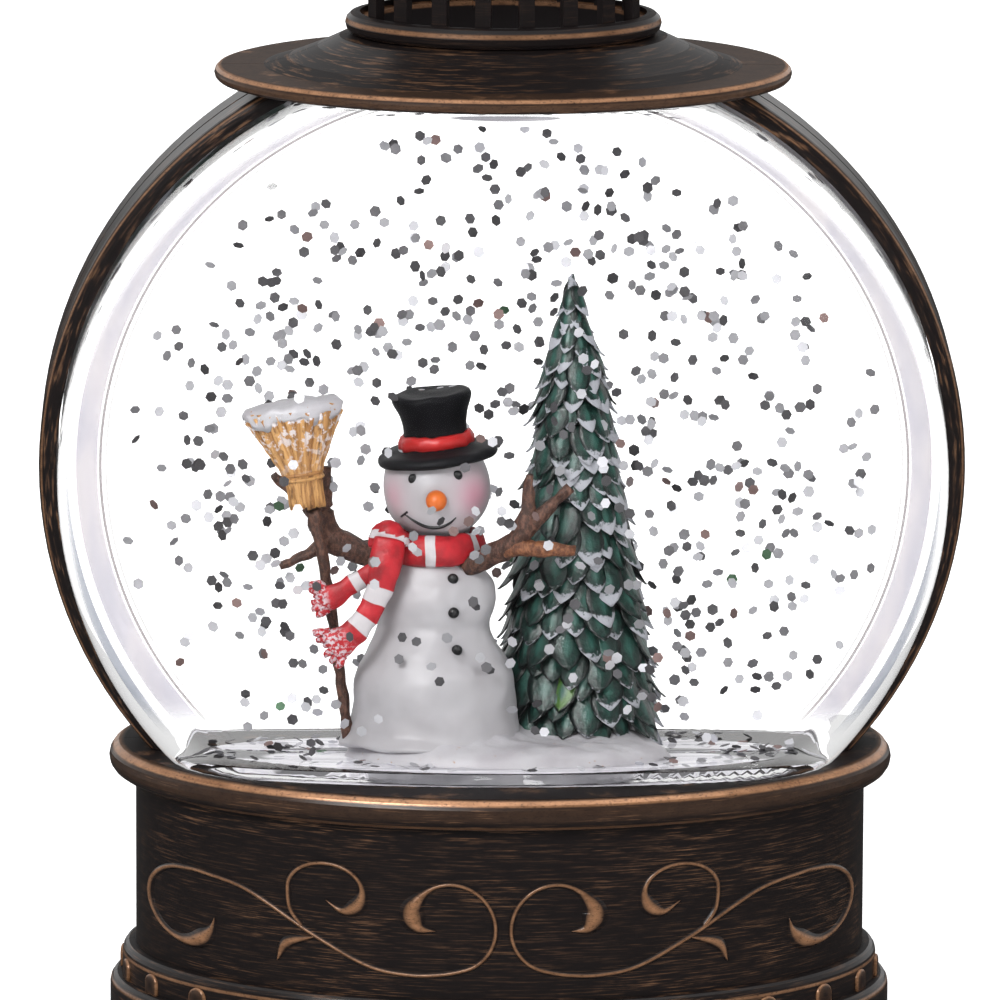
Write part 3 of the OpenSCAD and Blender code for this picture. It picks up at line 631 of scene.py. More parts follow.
def build_head(porcelain, black, orange):
    bag = Bag()
    verts, faces = ball(HEAD, HEAD_R, rings=44, steps=72)
    blushes = ((on_face(5.7, -1.2), 3.3, 0.75), (on_face(-6.9, -1.4), 2.8, 0.5))
    blush = [sum(amount * exp(-((v - middle).length / reach) ** 2) for middle, reach, amount in blushes)
             for v in verts]
    bag.add(roughen(verts, 0.2, 0.25, 5), faces, 0, blush=blush)
    for u, v in ((-3.75, 1.25), (2.95, 1.8)):
        bag.add(*ball(on_face(u, v, -0.1), 0.78, (1, 0.6, 1)), 1)
    bag.add(*ball(on_face(-0.25, -1.9, 0.6), 1.6, (1, 1.1, 1), 14, 20), 2)
    smile = spline([on_face(u, v, 0.05) for u, v in ((-4.9, -4.0), (-3.4, -5.1), (-1.7, -5.9), (0.2, -6.0),
                                                    (1.7, -5.4), (2.7, -4.5))], 6)
    last = len(smile) - 1
    bag.add(*tube(smile, [0.14 + 0.16 * sin(pi * i / last) for i in range(last + 1)], 8), 1)
    tick = spline([on_face(-5.4, -4.4, 0.05), on_face(-4.9, -4.0, 0.05), on_face(-4.5, -3.7, 0.05)], 4)
    bag.add(*tube(tick, [0.16] * len(tick), 6), 1)
    return bag.piece("snowman_head_painted", [porcelain, black, orange],
                     replaces=["snowman_head"])


def build_hat(felt, red, snow):
    tilt = Matrix.Rotation(radians(-6.5), 3, "Y")
    foot = Vector((HEAD.x + 0.1, HEAD.y, HEAD.z + 4.9))

    def placed(verts):
        return [foot + tilt @ (Vector(v) + wobble(v, 0.25, 0.3, 2)) for v in verts]

    bag = Bag()
    section = turned([(0.02, 0.4), (5.6, 0.3), (7.6, -0.5), (8.6, -0.7), (9.1, -0.1), (8.6, 0.7), (7.0, 1.1),
                      (5.4, 1.6), (4.8, 2.6), (4.75, 4.4), (5.2, 6.4), (5.8, 8.0), (5.9, 9.0), (5.3, 9.5),
                      (3.2, 9.3), (0.02, 9.2)], 5)
    verts, faces = revolve(section, 72)
    bag.add(placed(verts), faces)
    band = [(4.6, 1.5), (5.65, 1.45), (5.55, 2.4), (5.2, 3.35), (4.6, 3.45)]
    verts = revolve(band, 72)[0]
    bag.add([foot + tilt @ (Vector(v) + wobble(v, 0.55, 0.35, 4)) for v in verts], hoop_faces(5, 72), 1)
    for angle, height, reach, size in ((0.7, 9.35, 4.6, 0.5), (1.15, 9.4, 4.0, 0.35), (0.2, 9.3, 5.2, 0.4),
                                       (-0.25, 9.2, 5.3, 0.3), (1.9, 9.35, 3.6, 0.3)):
        spot = Vector((reach * cos(angle), reach * sin(angle), height))
        verts, faces = ball(spot, size, (1.6, 1.0, 0.4), 6, 10)
        bag.add(placed(verts), faces, 2)
    return bag.piece("top_hat_felt", [felt, red, snow], replaces=["top_hat"])


def cloth_material(name, red, white):
    """Painted scarf: the stripe attribute turns it white, and frost dusts the fringes. Darker red patches are
    painted shade in the folds.
    """
    g = Graph(name)
    weave = g.noise(g.place(), scale=1.8, detail=4)
    fold_shade = g.noise(g.place(), scale=0.45, detail=2)
    # Darker red in broad patches: painted shade standing in for the folds.
    base = g.mix(g.smooth(fold_shade, 0.35, 0.7), red, [c * 0.62 for c in red])
    base = g.mix(g.smooth(g.attribute("stripe"), 0.35, 0.65), base, white)
    frost = g.times(g.attribute("frost"), g.smooth(weave, 0.46, 0.58))
    base = g.mix(frost, base, (0.62, 0.53, 0.57))
    return g.surface(base, 0.5, 0.0, g.bump(weave, 0.4, 0.2))


def strip(bag, path, halves, stripes):
    """A rolled strip of cloth with stripes at given shares of its length and a fringe at the end."""
    frost_from, thickness, sides = 0.8, 0.5, 16
    path = spline(path, 8)
    count = len(path)
    radii = swept(halves, 40, count)
    verts, faces = tube(path, radii, sides, thickness, Vector((0, 1, 0)))
    share = [min(i // sides / (count - 1), 1) for i in range(len(verts))]
    stripe = [1.0 if any(abs(s - t) < 0.05 for t in stripes) else 0.0 for s in share]
    frost = [max(0.0, min((s - frost_from) / 0.12, 1)) for s in share]
    bag.add(roughen(verts, 0.5, 0.3, 6), faces, 0, stripe=stripe, frost=frost)
    end, ahead = path[-1], (path[-1] - path[-3]).normalized()
    side = ahead.cross(Vector((0, 1, 0))).normalized()
    for i in range(6):
        t = i / 2.5 - 1
        root = end - ahead * 1.0 + side * t * radii[-1] * 0.75
        tip = end + ahead * (1.1 + 0.4 * sin(i * 2.3)) + side * t * radii[-1] * 1.1
        strand = spline([root, (root + tip) / 2 + Vector((0, -0.3, 0)), tip], 3)
        radius = [0.72 * (1 - 0.35 * (k / (len(strand) - 1)) ** 2) for k in range(len(strand))]
        verts, faces = tube(strand, radius, 8)
        bag.add(roughen(verts, 0.9, 0.3, i), faces, 0, frost=[0.85] * len(verts))


def build_scarf(cloth):
    bag = Bag()
    steps = 144
    section = [(5.0, 27.6), (6.6, 27.0), (7.5, 27.6), (7.6, 29.0), (7.2, 30.6), (6.6, 31.7), (5.9, 31.9),
               (5.6, 30.6)]
    verts = []
    for radius, up in section:
        for a in angles(steps):
            point = SNOW_AXIS + Vector((radius * cos(a), radius * sin(a), FOOT_Z + up))
            verts.append(point + wobble(point, 0.35, 0.4, 7))
    around = [degrees(2 * pi * (i % steps) / steps) for i in range(len(verts))]
    stripe = [1.0 if min(abs(a - t) for t in (262, 328, 30, 100, 165, 210)) < 6 else 0.0 for a in around]
    bag.add(verts, hoop_faces(len(section), steps), 0, stripe=stripe)
    lump, faces = ball((-17.0, -11.6, 88.4), 2.9, (1.05, 0.85, 0.95), 24, 32)
    stripe = [1.0 if abs((v.z - 88.7) + 0.35 * (v.x + 17.2)) < 0.55 else 0.0 for v in lump]
    bag.add(roughen(roughen(lump, 0.3, 1.1, 1), 0.9, 0.35, 4), faces, 0, stripe=stripe)
    strip(bag, [(-17.0, -13.2, 88.6), (-17.7, -14.8, 84.8), (-18.6, -15.2, 81.2), (-20.2, -15.4, 77.6),
                (-22.9, -15.4, 74.2), (-26.0, -15.2, 72.2)], (2.3, 2.4, 2.0, 1.8, 2.1, 2.9), (0.45, 0.68))
    strip(bag, [(-18.2, -12.6, 84.6), (-20.0, -13.2, 83.2), (-22.8, -13.4, 81.6), (-25.4, -13.4, 79.8),
                (-27.6, -13.2, 79.4)], (1.5, 1.5, 1.5, 1.8, 2.3), (0.42,))
    return bag.piece("scarf_striped", [cloth], replaces=["scarf"])


def bark_material(name, dark, light):
    g = Graph(name)
    lines = g.noise(g.place((0.9, 0.9, 0.5)), scale=1.6, detail=5, rough=0.7)
    base = g.mix(g.smooth(lines, 0.4, 0.66), dark, light)
    return g.surface(base, 0.55, 0.0, g.bump(lines, 0.8, 0.35))


def twig(bag, points, radii, mat=0, seed=0.0):
    path = spline(points, 7)
    thick = [max(width, 0.2) for width in swept(radii, 30, len(path))]
    verts, faces = tube(path, thick, 14)
    bag.add(roughen(roughen(verts, 0.5, 0.45, seed), 1.3, 0.18, seed), faces, mat)


def build_arms(bark, red_bark):
    left = Bag()
    twig(left, [(-15.5, -5.2, 83.2), (-20.5, -5, 85.2), (-25.4, -5, 87.4), (-27.2, -5.2, 91.5),
                (-26.4, -5.6, 98.4)], (1.7, 1.9, 2.2, 2.0, 0.8), seed=1)
    twig(left, [(-27.2, -5.2, 90.6), (-30.4, -5.4, 93.6), (-34.4, -5.4, 97.0)], (1.5, 0.9, 0.55), seed=2)
    twig(left, [(-25.6, -5.6, 87.6), (-29.2, -6.6, 85.2), (-33.4, -6.8, 83.4)], (1.5, 0.9, 0.55), seed=3)
    left.piece("left_arm_bark", [bark], replaces=["left_arm"])
    right = Bag()
    twig(right, [(-5.4, -10.4, 84.0), (-1.4, -13.0, 86.4), (3.0, -15.2, 90.2), (4.0, -15.8, 99.0)],
         (1.4, 1.7, 1.6, 0.6), seed=4)
    twig(right, [(2.4, -15.0, 89.4), (6.0, -15.8, 93.2), (10.0, -16.2, 97.0)], (1.4, 1.0, 0.7), seed=5)
    twig(right, [(-0.4, -14.0, 87.2), (4.6, -16.2, 87.8), (10.9, -16.4, 87.4)], (1.2, 1.15, 0.9), 1, seed=6)
    right.piece("right_arm_bark", [bark, red_bark], replaces=["right_arm"])


# ---- Broom -------------------------------------------------------------------------


def straw_material(name):
    g = Graph(name)
    tone = g.node("ShaderNodeNewGeometry").outputs["Random Per Island"]
    lines = g.noise(g.place((1.2, 1.2, 0.25)), scale=1.4, detail=3)
    base = g.mix(tone, (0.30, 0.13, 0.035), (0.60, 0.33, 0.12))
    base = g.mix(g.smooth(lines, 0.5, 0.7), base, (0.20, 0.09, 0.03))
    clumps = g.smooth(g.noise(g.place(), scale=0.9, detail=3), 0.51, 0.6)
    frost = g.times(g.attribute("frost"), clumps)
    base = g.mix(frost, base, (0.74, 0.72, 0.76))
    return g.surface(base, 0.5, 0.0, g.bump(lines, 0.3, 0.15))


def build_broom(straw, bark, snow):
    bag = Bag()
    stick = [(-23.1, -7.4, FOOT_Z), (-24.6, -8.2, 69), (-26.4, -9.0, 82), (-28.4, -9.8, 92.5)]
    twig(bag, stick, (0.85, 0.8, 0.85, 0.9), 1, seed=7)
    foot = Vector((-29.3, -10, 93.4))
    lean = Matrix.Rotation(radians(-9), 3, "Y")
    draw = random.Random(11)

    def at(a, b, up):
        return foot + lean @ Vector((a, b, up))

    core = [(2.1, 0), (2.3, 4.6), (5.2, 10.5), (6.3, 13.4)]
    verts, faces = revolve(core, 40)
    bag.add([at(v[0], v[1] * 0.55, v[2]) for v in verts], faces, 0,
            frost=[max(0, (v[2] - 6) / 8) for v in verts])
    straws = 84
    for i in range(straws):
        a = 2 * pi * (i + draw.uniform(-0.3, 0.3)) / straws
        reach = 1.0 if i % 3 else 0.82
        across, deep = cos(a) * reach, sin(a) * reach
        top = 14.2 + draw.uniform(-0.6, 0.9)
        points = [at(2.4 * across, 1.5 * deep, draw.uniform(-0.7, 0.2)),
                  at(2.6 * across, 1.6 * deep, 4.3), at(4.6 * across, 2.4 * deep, 9),
                  at(7.1 * across, 3.7 * deep, top)]
        path = spline(points, 5)
        radius = [0.34 + 0.18 * k / (len(path) - 1) for k in range(len(path))]
        verts, faces = tube(path, radius, 6)
        share = [min(k // 6 / (len(path) - 1), 1) for k in range(len(verts))]
        frost = [max(0, (s - 0.3) / 0.7) for s in share]
        bag.add(roughen(verts, 0.8, 0.18, i * 0.1), faces, 0, frost=frost)
    for up in (4.0, 4.8):
        turns = [t * pi / 18 for t in range(37)]
        ring = [at(2.95 * cos(a), 1.95 * sin(a), up) for a in turns]
        bag.add(*tube(ring, [0.3] * len(ring), 8), 0)
    columns = 64
    rows = [(0.02, 13.6, 0), (0.88, 13.8, 0.4), (0.98, 13.9, 1), (1.04, 14.3, 0.55), (1.07, 14.9, 0.15),
            (0.97, 15.5, 0), (0.7, 15.8, 0), (0.35, 15.9, 0), (0.02, 15.95, 0)]
    verts = []
    for reach, up, hang in rows:
        for t in angles(columns):
            drip = 3.0 * max(0, noise.noise(Vector((cos(t) * 2.6, sin(t) * 2.6, 5)))) ** 0.8 + 0.2
            drop = hang * drip * (0.25 + 1.1 * sin(t) ** 2)
            verts.append(at(7.2 * reach * cos(t), 3.9 * reach * sin(t), up - drop))
    bag.add(roughen(verts, 0.5, 0.5, 9), closed_faces(len(rows), columns), 2)
    return bag.piece("broom_straw", [straw, bark, snow], replaces=["broom"])


# ---- Fir tree ----------------------------------------------------------------------


def tree_material(name):
    """Dark green leaves, near black on their backs and edges as painted shade between the leaves, paler along
    their ridges as a painted highlight, with snow on their tips and a few lime ones.
    """
    g = Graph(name)
    lines = g.noise(g.place((1, 1, 0.6)), scale=1.3, detail=4)
    fine = g.noise(g.place(), scale=1.6, detail=4)
    ridge = g.attribute("ridge")
    body = g.mix(g.smooth(lines, 0.38, 0.68), (0.0015, 0.013, 0.010), (0.006, 0.038, 0.028))
    body = g.mix(g.attribute("lime"), body, (0.07, 0.17, 0.02))
    # Near black where the ridge value is low, on the backs and edges of the leaves: painted shade between the
    # leaves.
    base = g.mix(g.smooth(ridge, 0.15, 0.6), (0.0008, 0.004, 0.0035), body)
    # Paler teal along the ridges: painted highlight.
    base = g.mix(g.smooth(ridge, 0.72, 1.0), base, (0.024, 0.092, 0.072))
    snow = g.math("ADD", g.attribute("snow"), g.times(fine, 0.5))
    cover = g.smooth(snow, 0.5, 0.6)
    base = g.mix(cover, base, (0.40, 0.41, 0.45))
    return g.surface(base, g.value_mix(cover, 0.3, 0.6), 0.0, g.bump(fine, 0.5, 0.25))


def leaf(bag, root, out, length, width, flare, snow, lime):
    """One pointed leaf that hangs from its root and flares outward at the tip."""
    side = out.cross(UP)
    rows, columns = 8, 7
    verts, tips, ridges = [], [], []
    for face in (1, -1):
        for i in range(rows):
            u = i / (rows - 1)
            half = width / 2 * max(1 - abs((u - 0.42) / 0.6) ** 2.2, 0.06)
            drop = -UP * length * (u - 0.12 * u * u)
            away = out * (length * flare * (0.35 * u + 0.65 * u * u))
            for j in range(columns):
                v = 2 * j / (columns - 1) - 1
                dome = 0.55 * (1 - v * v) * sin(pi * min(u + 0.15, 1)) * (1 if face > 0 else -0.4)
                crease = 0.16 * exp(-(v / 0.2) ** 2) if face > 0 else 0
                verts.append(root + drop + away + side * half * v + out * (dome + crease + 0.12 * face))
                tips.append(snow * (max(0, (u - 0.45) / 0.55) + 0.35 * abs(v) ** 3 * u))
                # The ridge value, 1 along the upper face's middle and 0 at the edges and on the back, drives
                # painted highlight and painted shade.
                crest = (1 - abs(v) ** 1.6) * sin(pi * min(0.12 + 0.8 * u, 1))
                ridges.append(crest if face > 0 else 0)
    half_count = rows * columns
    faces = grid_faces(rows, columns, wrap=False)
    faces += [[half_count + i for i in f[::-1]] for f in grid_faces(rows, columns, wrap=False)]
    rim = list(range(columns)) + [i * columns + columns - 1 for i in range(1, rows)]
    rim += [(rows - 1) * columns + j for j in range(columns - 2, -1, -1)]
    rim += [i * columns for i in range(rows - 2, 0, -1)]
    for a, b in zip(rim, rim[1:] + rim[:1]):
        faces.append([b, a, half_count + a, half_count + b])
    bag.add(verts, faces, 0, snow=tips, ridge=ridges, lime=[lime] * len(verts))


def build_tree(foliage):
    draw = random.Random(5)
    foot = corner_mm("fir_tree")[0].z
    tall = 69
    axis_low, axis_high = Vector((11.4, 2.0, foot)), Vector((10.3, 2.0, foot + tall))
    outline = flat_spline([(11.2, 0), (11.9, 4.5), (11.2, 10), (10.6, 17.5), (9.7, 25), (8.3, 33),
                           (7.0, 40.5), (6.1, 48), (4.9, 56), (2.9, 62), (1.3, 67.5)], 10)

    def reach(up):
        for a, b in zip(outline, outline[1:]):
            if a.y <= up <= b.y:
                return a.x + (b.x - a.x) * (up - a.y) / (b.y - a.y)
        return outline[-1].x

    def leaning(verts):
        """Moves points turned about the origin onto the tree's leaning axis."""
        return [axis_low.lerp(axis_high, v[2] / tall) + Vector((v[0], v[1], 0)) for v in verts]

    bag = Bag()
    core = [(max(reach(h) - 2.6, 0.3), h) for h in range(0, 67, 3)]
    verts, faces = revolve(core, 32)
    bag.add(leaning(verts), faces)
    up, row = 4.4, 0
    while up < 67:
        radius = reach(up - 1.5)
        width = 2.0 + 0.25 * radius
        length = 3.0 + 0.24 * radius
        count = max(5, round(2 * pi * (radius - 0.8) / (width * 0.74)))
        for i in range(count):
            a = 2 * pi * (i + 0.5 * (row % 2) + draw.uniform(-0.22, 0.22)) / count
            out = Vector((cos(a), sin(a), 0))
            size = draw.uniform(0.8, 1.2)
            root = axis_low.lerp(axis_high, up / tall) + out * max(radius - 2.0, 0.4)
            root += UP * draw.uniform(-0.9, 0.9)
            high = min(max((up - 10) / 35, 0), 1) + max(up - 56, 0) / 14
            snow = (0.2 + 0.4 * high + 0.12 * out.x) * draw.uniform(0.25, 1.5)
            lime = 0.8 if draw.random() < 0.05 and up < 26 and out.x > -0.3 else 0.0
            facing = Quaternion(UP, draw.uniform(-0.35, 0.35)) @ out
            flare = 0.36 + 0.2 * draw.random()
            leaf(bag, root, facing, length * size * 1.25, width * size, flare, snow, lime)
        up += 2.3 + 0.085 * radius
        row += 1
    spire, faces = revolve([(1.0, 62.5), (1.1, 64), (0.9, 65.6), (0.7, 67), (0.45, 68), (0.2, 68.6)], 20)
    count = len(spire)
    bag.add(roughen(leaning(spire), 0.9, 0.6, 3), faces, 0, snow=[0.34] * count, ridge=[0.5] * count)
    return bag.piece("fir_tree_leaves", [foliage], replaces=["fir_tree"])


# ---- Snow mound and glitter --------------------------------------------------------


def build_mound(snow):
    middle = (mound_lo + mound_hi) / 2
    half_x, half_y = (mound_hi.x - mound_lo.x) / 2, (mound_hi.y - mound_lo.y) / 2
    tall = mound_hi.z - mound_lo.z
    rings, columns = 26, 144
    verts = []
    for i in range(rings):
        reach = i / (rings - 1)
        for a in angles(columns):
            edge = 1 + 0.045 * noise.noise(Vector((cos(a) * 2.2, sin(a) * 2.2, 1)))
            x = middle.x + half_x * edge * reach * cos(a)
            y = middle.y + half_y * edge * reach * sin(a)
            lift = tall * (1 - reach ** 7) ** 0.6
            near_man = hypot(x - SNOW_AXIS.x, y - SNOW_AXIS.y)
            near_tree = hypot(x - 11.6, y - 2)
            lift += 1.9 * exp(-((near_man - 11) / 2.6) ** 2) * (1 - reach ** 6)
            lift += 1.5 * exp(-((near_tree - 9) / 2.6) ** 2) * (1 - reach ** 6)
            z = mound_lo.z + max(lift, 0.02)
            bump = 0.45 * noise.noise(Vector((x, y, 0)) * 0.3) + 0.2 * noise.noise(Vector((x, y, 7)) * 0.9)
            verts.append(Vector((x, y, z + bump * (1 - reach ** 10))))
    faces = grid_faces(rings, columns)
    start = len(verts)
    verts += [Vector((v.x, v.y, mound_lo.z - 0.02)) for v in verts[-columns:]]
    faces += [[start - columns + j, start - columns + (j + 1) % columns, start + (j + 1) % columns, start + j]
              for j in range(columns)]
    faces.append([start + j for j in range(columns)][::-1])
    bag = Bag()
    bag.add(verts, faces)
    return bag.piece("snow_mound_rough", [snow], replaces=["snow_mound"])


FLOATING_FLAKES = 900
SETTLED_FLAKES = 190
FLAKES_WITHIN = 59.5


def flake_material(name):
    """Metallic film in greys, with a few brown and green flakes."""
    g = Graph(name)
    tone = g.node("ShaderNodeNewGeometry").outputs["Random Per Island"]
    base = g.mix(g.smooth(tone, 0.2, 0.95), (0.085, 0.082, 0.088), (0.70, 0.70, 0.74))
    base = g.mix(g.smooth(tone, 0.94, 0.95), base, (0.24, 0.16, 0.15))
    base = g.mix(g.smooth(tone, 0.99, 0.991), base, (0.07, 0.14, 0.08))
    return g.surface(base, 0.55, 0.5)


def flake(bag, middle, facing, radius, spin):
    """A hexagon of glitter film, a closed thin prism."""
    turn = facing.to_track_quat("Z", "Y").to_matrix() @ Matrix.Rotation(spin, 3, "Z")
    verts = []
    for side in (-0.035, 0.035):
        for j in range(6):
            a = pi * j / 3
            verts.append(middle + turn @ Vector((radius * cos(a), radius * sin(a), side)))
    faces = [[0, 1, 2, 3, 4, 5][::-1], [6, 7, 8, 9, 10, 11]]
    faces += [[j, (j + 1) % 6, 6 + (j + 1) % 6, 6 + j] for j in range(6)]
    bag.add(verts, faces)


def inside_scene(p):
    """Whether a point is in or close to the mound, the snowman, the tree, the broom or the right arm."""
    up = p.z - FOOT_Z
    man = hypot(p.x - SNOW_AXIS.x, p.y - SNOW_AXIS.y)
    tree = hypot(p.x - 11.3, p.y - 2)
    in_mound = up < 1.2 and abs(p.x - 1.1) < 27
    in_body = up < 30 and man < 14 - 0.15 * up
    in_head = 30 <= up < 52 and man < 10
    in_tree = up < 70 and tree < 13 - 0.165 * up
    in_broom = abs(p.x + 31) < 9 and abs(p.y + 10) < 5 and 91 < p.z < 112
    in_arm = abs(p.x - 3) < 9 and -18 < p.y < -9 and 82 < p.z < 101
    return in_mound or in_body or in_head or in_tree or in_broom or in_arm


def build_glitter(film):
    draw = random.Random(2024)
    bag = Bag()
    made = 0
    while made < FLOATING_FLAKES:
        p = Vector((draw.uniform(-66, 66), draw.uniform(-36, 36), draw.uniform(FLOOR_Z + 1.5, BRIM_Z - 5)))
        ring = hypot(p.x, (p.z - RING_Z) / RING_RATIO)
        dome = hypot(ring, abs(p.y) - (DRUM_DEPTH - DRUM_DOME_R))
        if ring > FLAKES_WITHIN or dome > DRUM_DOME_R - DRUM_WALL - 1.2 or inside_scene(p):
            continue
        if ring > 46 and p.y > 20 - (ring - 46) * 2.6:
            continue
        facing = Vector((draw.gauss(0, 0.5), -1, draw.gauss(0, 0.5))).normalized()
        flake(bag, p, facing, draw.uniform(0.8, 0.92), draw.uniform(0, pi))
        made += 1
    for _ in range(SETTLED_FLAKES):
        a, reach = draw.uniform(0, 2 * pi), sqrt(draw.uniform(0.3, 1))
        p = Vector((46 * reach * cos(a), 29 * reach * sin(a), FLOOR_Z + draw.uniform(0.15, 0.5)))
        if hypot((p.x - 1.1) / 25.5, (p.y + 7) / 18) < 1:
            continue
        facing = Vector((draw.gauss(0, 0.3), draw.gauss(0, 0.3), 1)).normalized()
        flake(bag, p, facing, 0.8, draw.uniform(0, pi))
    return bag.piece("glitter_flakes", [film], smooth=False)


# ---- Relief on the base ------------------------------------------------------------


def loop(centre, first, last, start, end, steps):
    """Points on an arc in degrees; its radii across and up go from the first pair to the last."""
    points = []
    for i in range(steps + 1):
        t = i / steps
        a = radians(start + (end - start) * t)
        across, up = [p + (q - p) * t for p, q in zip(first, last)]
        points.append((centre[0] + across * cos(a), centre[1] + up * sin(a)))
    return points


SCROLL_MAIN = loop((-49.5, 30), (4.8, 5.4), (6, 6), -10, -270, 12)
SCROLL_MAIN += [(-46.5, 36), (-39.5, 34.5), (-29, 28.5), (-21, 24.5), (-15, 23.4), (-10.5, 23.5)]
SCROLL_MAIN += loop((-8.2, 31), (7.3, 7), (6.4, 7), -80, 160, 11) + [(-13, 31), (-10.5, 30.5)]
SCROLL_BRANCH = [(-31, 29.7), (-33, 32.5)] + loop((-27.5, 36), (5.9, 4.6), (5.6, 4), 180, -35, 10)
SCROLL_BRANCH += [(-25, 33), (-27.5, 34.5)]
SCROLL_LEAF = [(-29, 28.5), (-33.5, 27), (-35, 24)]


def wall_point(x, z, lift, rear):
    """Point on the oval wall of the base, lifted off it."""
    x = max(min(x, BODY_R - 0.3), 0.3 - BODY_R)
    y = -BODY_R * PLAN_RATIO * sqrt(1 - (x / BODY_R) ** 2)
    out = Vector((x / BODY_R ** 2, y / (BODY_R * PLAN_RATIO) ** 2, 0)).normalized()
    point = Vector((x, y, z)) + out * lift
    return Vector((-point.x, -point.y, point.z)) if rear else point


def ribbon(bag, points, half, mirror, rear):
    """A rounded ridge along a curve on the wall; half gives its half width along the way."""
    path = flat_spline(points, 10)
    count = len(path)
    across = (-1.25, -1, -0.7, -0.35, 0, 0.35, 0.7, 1, 1.25)
    height = (-0.4, 0.05, 0.5, 0.85, 1.0, 0.85, 0.5, 0.05, -0.4)
    verts, wear = [], []
    for i, here in enumerate(path):
        ahead = path[min(i + 1, count - 1)] - path[max(i - 1, 0)]
        side = Vector((-ahead.y, ahead.x, 0)).normalized()
        wide = half(i / (count - 1))
        for a, h in zip(across, height):
            spot = here + side * wide * a
            x = -spot.x if mirror else spot.x
            verts.append(wall_point(x, spot.y, min(0.3 + 0.38 * wide, 0.85) * h, rear))
            wear.append(max(0.0, (h - 0.6) / 0.4) * min(0.5 + 0.35 * wide, 1))
    faces = grid_faces(count, len(across), wrap=False, flip=mirror)
    columns = len(across)
    ends = [list(range(columns)), [len(verts) - columns + j for j in range(columns)][::-1]]
    faces += [end[::-1] for end in ends] if not mirror else ends
    for i in range(count - 1):
        low, high = i * columns, (i + 1) * columns
        back = [low, high, high + columns - 1, high - 1]
        faces.append(back[::-1] if mirror else back)
    bag.add(verts, faces, 0, wear=wear)


def build_scrollwork(bronze):
    bag = Bag()

    def taper(t, start, end):
        """Brings both tips of a ridge to a point."""
        return min(t / start, 1) ** 0.7 * min((1 - t) / end, 1) ** 0.7 + 0.04

    def main_half(t):
        swell = 0.95 * exp(-((t - 0.07) / 0.05) ** 2) + 1.5 * exp(-((t - 0.945) / 0.04) ** 2)
        return (0.42 + swell) * taper(t, 0.055, 0.05)

    def branch_half(t):
        return (0.42 + 0.85 * exp(-((t - 0.85) / 0.11) ** 2)) * taper(t, 0.01, 0.12)

    def leaf_half(t):
        return 0.95 * taper(t, 0.5, 0.5)

    for rear in (False, True):
        for mirror in (False, True):
            ribbon(bag, SCROLL_MAIN, main_half, mirror, rear)
            ribbon(bag, SCROLL_BRANCH, branch_half, mirror, rear)
            ribbon(bag, SCROLL_LEAF, leaf_half, mirror, rear)
    return bag.piece("scrollwork_relief", [bronze])


def build_dentils(bronze):
    """Round-topped blocks around the step at the foot of the wall."""
    bag = Bag()
    count, first = 26, radians(9.4)
    half, foot, shoulder, crown, middle_z = 1.7, 14.3, 16.2, 1.5, 15.9
    outline = [(-half, foot), (half, foot), (half, shoulder)]
    outline += [(half * cos(t * pi / 10), shoulder + crown * sin(t * pi / 10)) for t in range(1, 10)]
    outline += [(-half, shoulder)]
    around = len(outline)
    for turn in angles(count):
        a = first + turn
        middle = Vector((STEP_R * cos(a), STEP_R * PLAN_RATIO * sin(a), 0))
        out = Vector((cos(a) * PLAN_RATIO, sin(a), 0)).normalized()
        side = UP.cross(out)
        verts, wear = [], []
        for depth, shrink, worn in ((-0.6, 1.0, 0), (0.3, 1.0, 0.8), (0.48, 0.8, 0.1)):
            for s, z in outline:
                height = middle_z + (z - middle_z) * shrink
                verts.append(middle + out * depth + side * s * shrink + UP * height)
                wear.append(worn)
        verts.append(middle + out * 0.48 + UP * middle_z)
        wear.append(0.0)
        faces = grid_faces(3, around, flip=True)
        faces.append(list(range(around)))
        top = 2 * around
        faces += [[top + (j + 1) % around, top + j, 3 * around] for j in range(around)]
        bag.add(verts, [f[::-1] for f in faces], 0, wear=wear)
    return bag.piece("foot_dentils", [bronze])


# ---- Stage -------------------------------------------------------------------------


def build_world():
    """White for what the camera sees directly or through clear parts.

    What reflects or is lit sees it dim in front."""
    world = bpy.data.worlds.new("studio")
    bpy.context.scene.world = world
    g = Graph("studio", world)
    toward = g.axes(g.node("ShaderNodeTexCoord").outputs["Generated"])
    reach = {"Value": toward["Y"], "From Min": -0.6, "From Max": 0.2, "To Min": 0.06, "To Max": 1.1}
    shade = g.node("ShaderNodeMapRange", reach, interpolation_type="SMOOTHSTEP").outputs[0]
    overhead = g.smooth(toward["Z"], 0.78, 0.92)
    ray = g.node("ShaderNodeLightPath").outputs
    shade = g.math("ADD", shade, g.times(g.times(overhead, ray["Is Glossy Ray"]), 2.2))
    shade = g.most(shade, g.times(ray["Is Transmission Ray"], 0.55))
    level = g.value_mix(seen_directly(g), shade, 1.1)
    background = g.node("ShaderNodeBackground", {"Strength": level})
    g.show(background)


def seen_directly(g):
    """1 for rays that reached the camera without a reflection on the way."""
    ray = g.node("ShaderNodeLightPath").outputs
    straight = g.most(ray["Is Camera Ray"], ray["Is Transmission Ray"])
    return g.times(straight, g.math("LESS_THAN", ray["Glossy Depth"], 0.5))


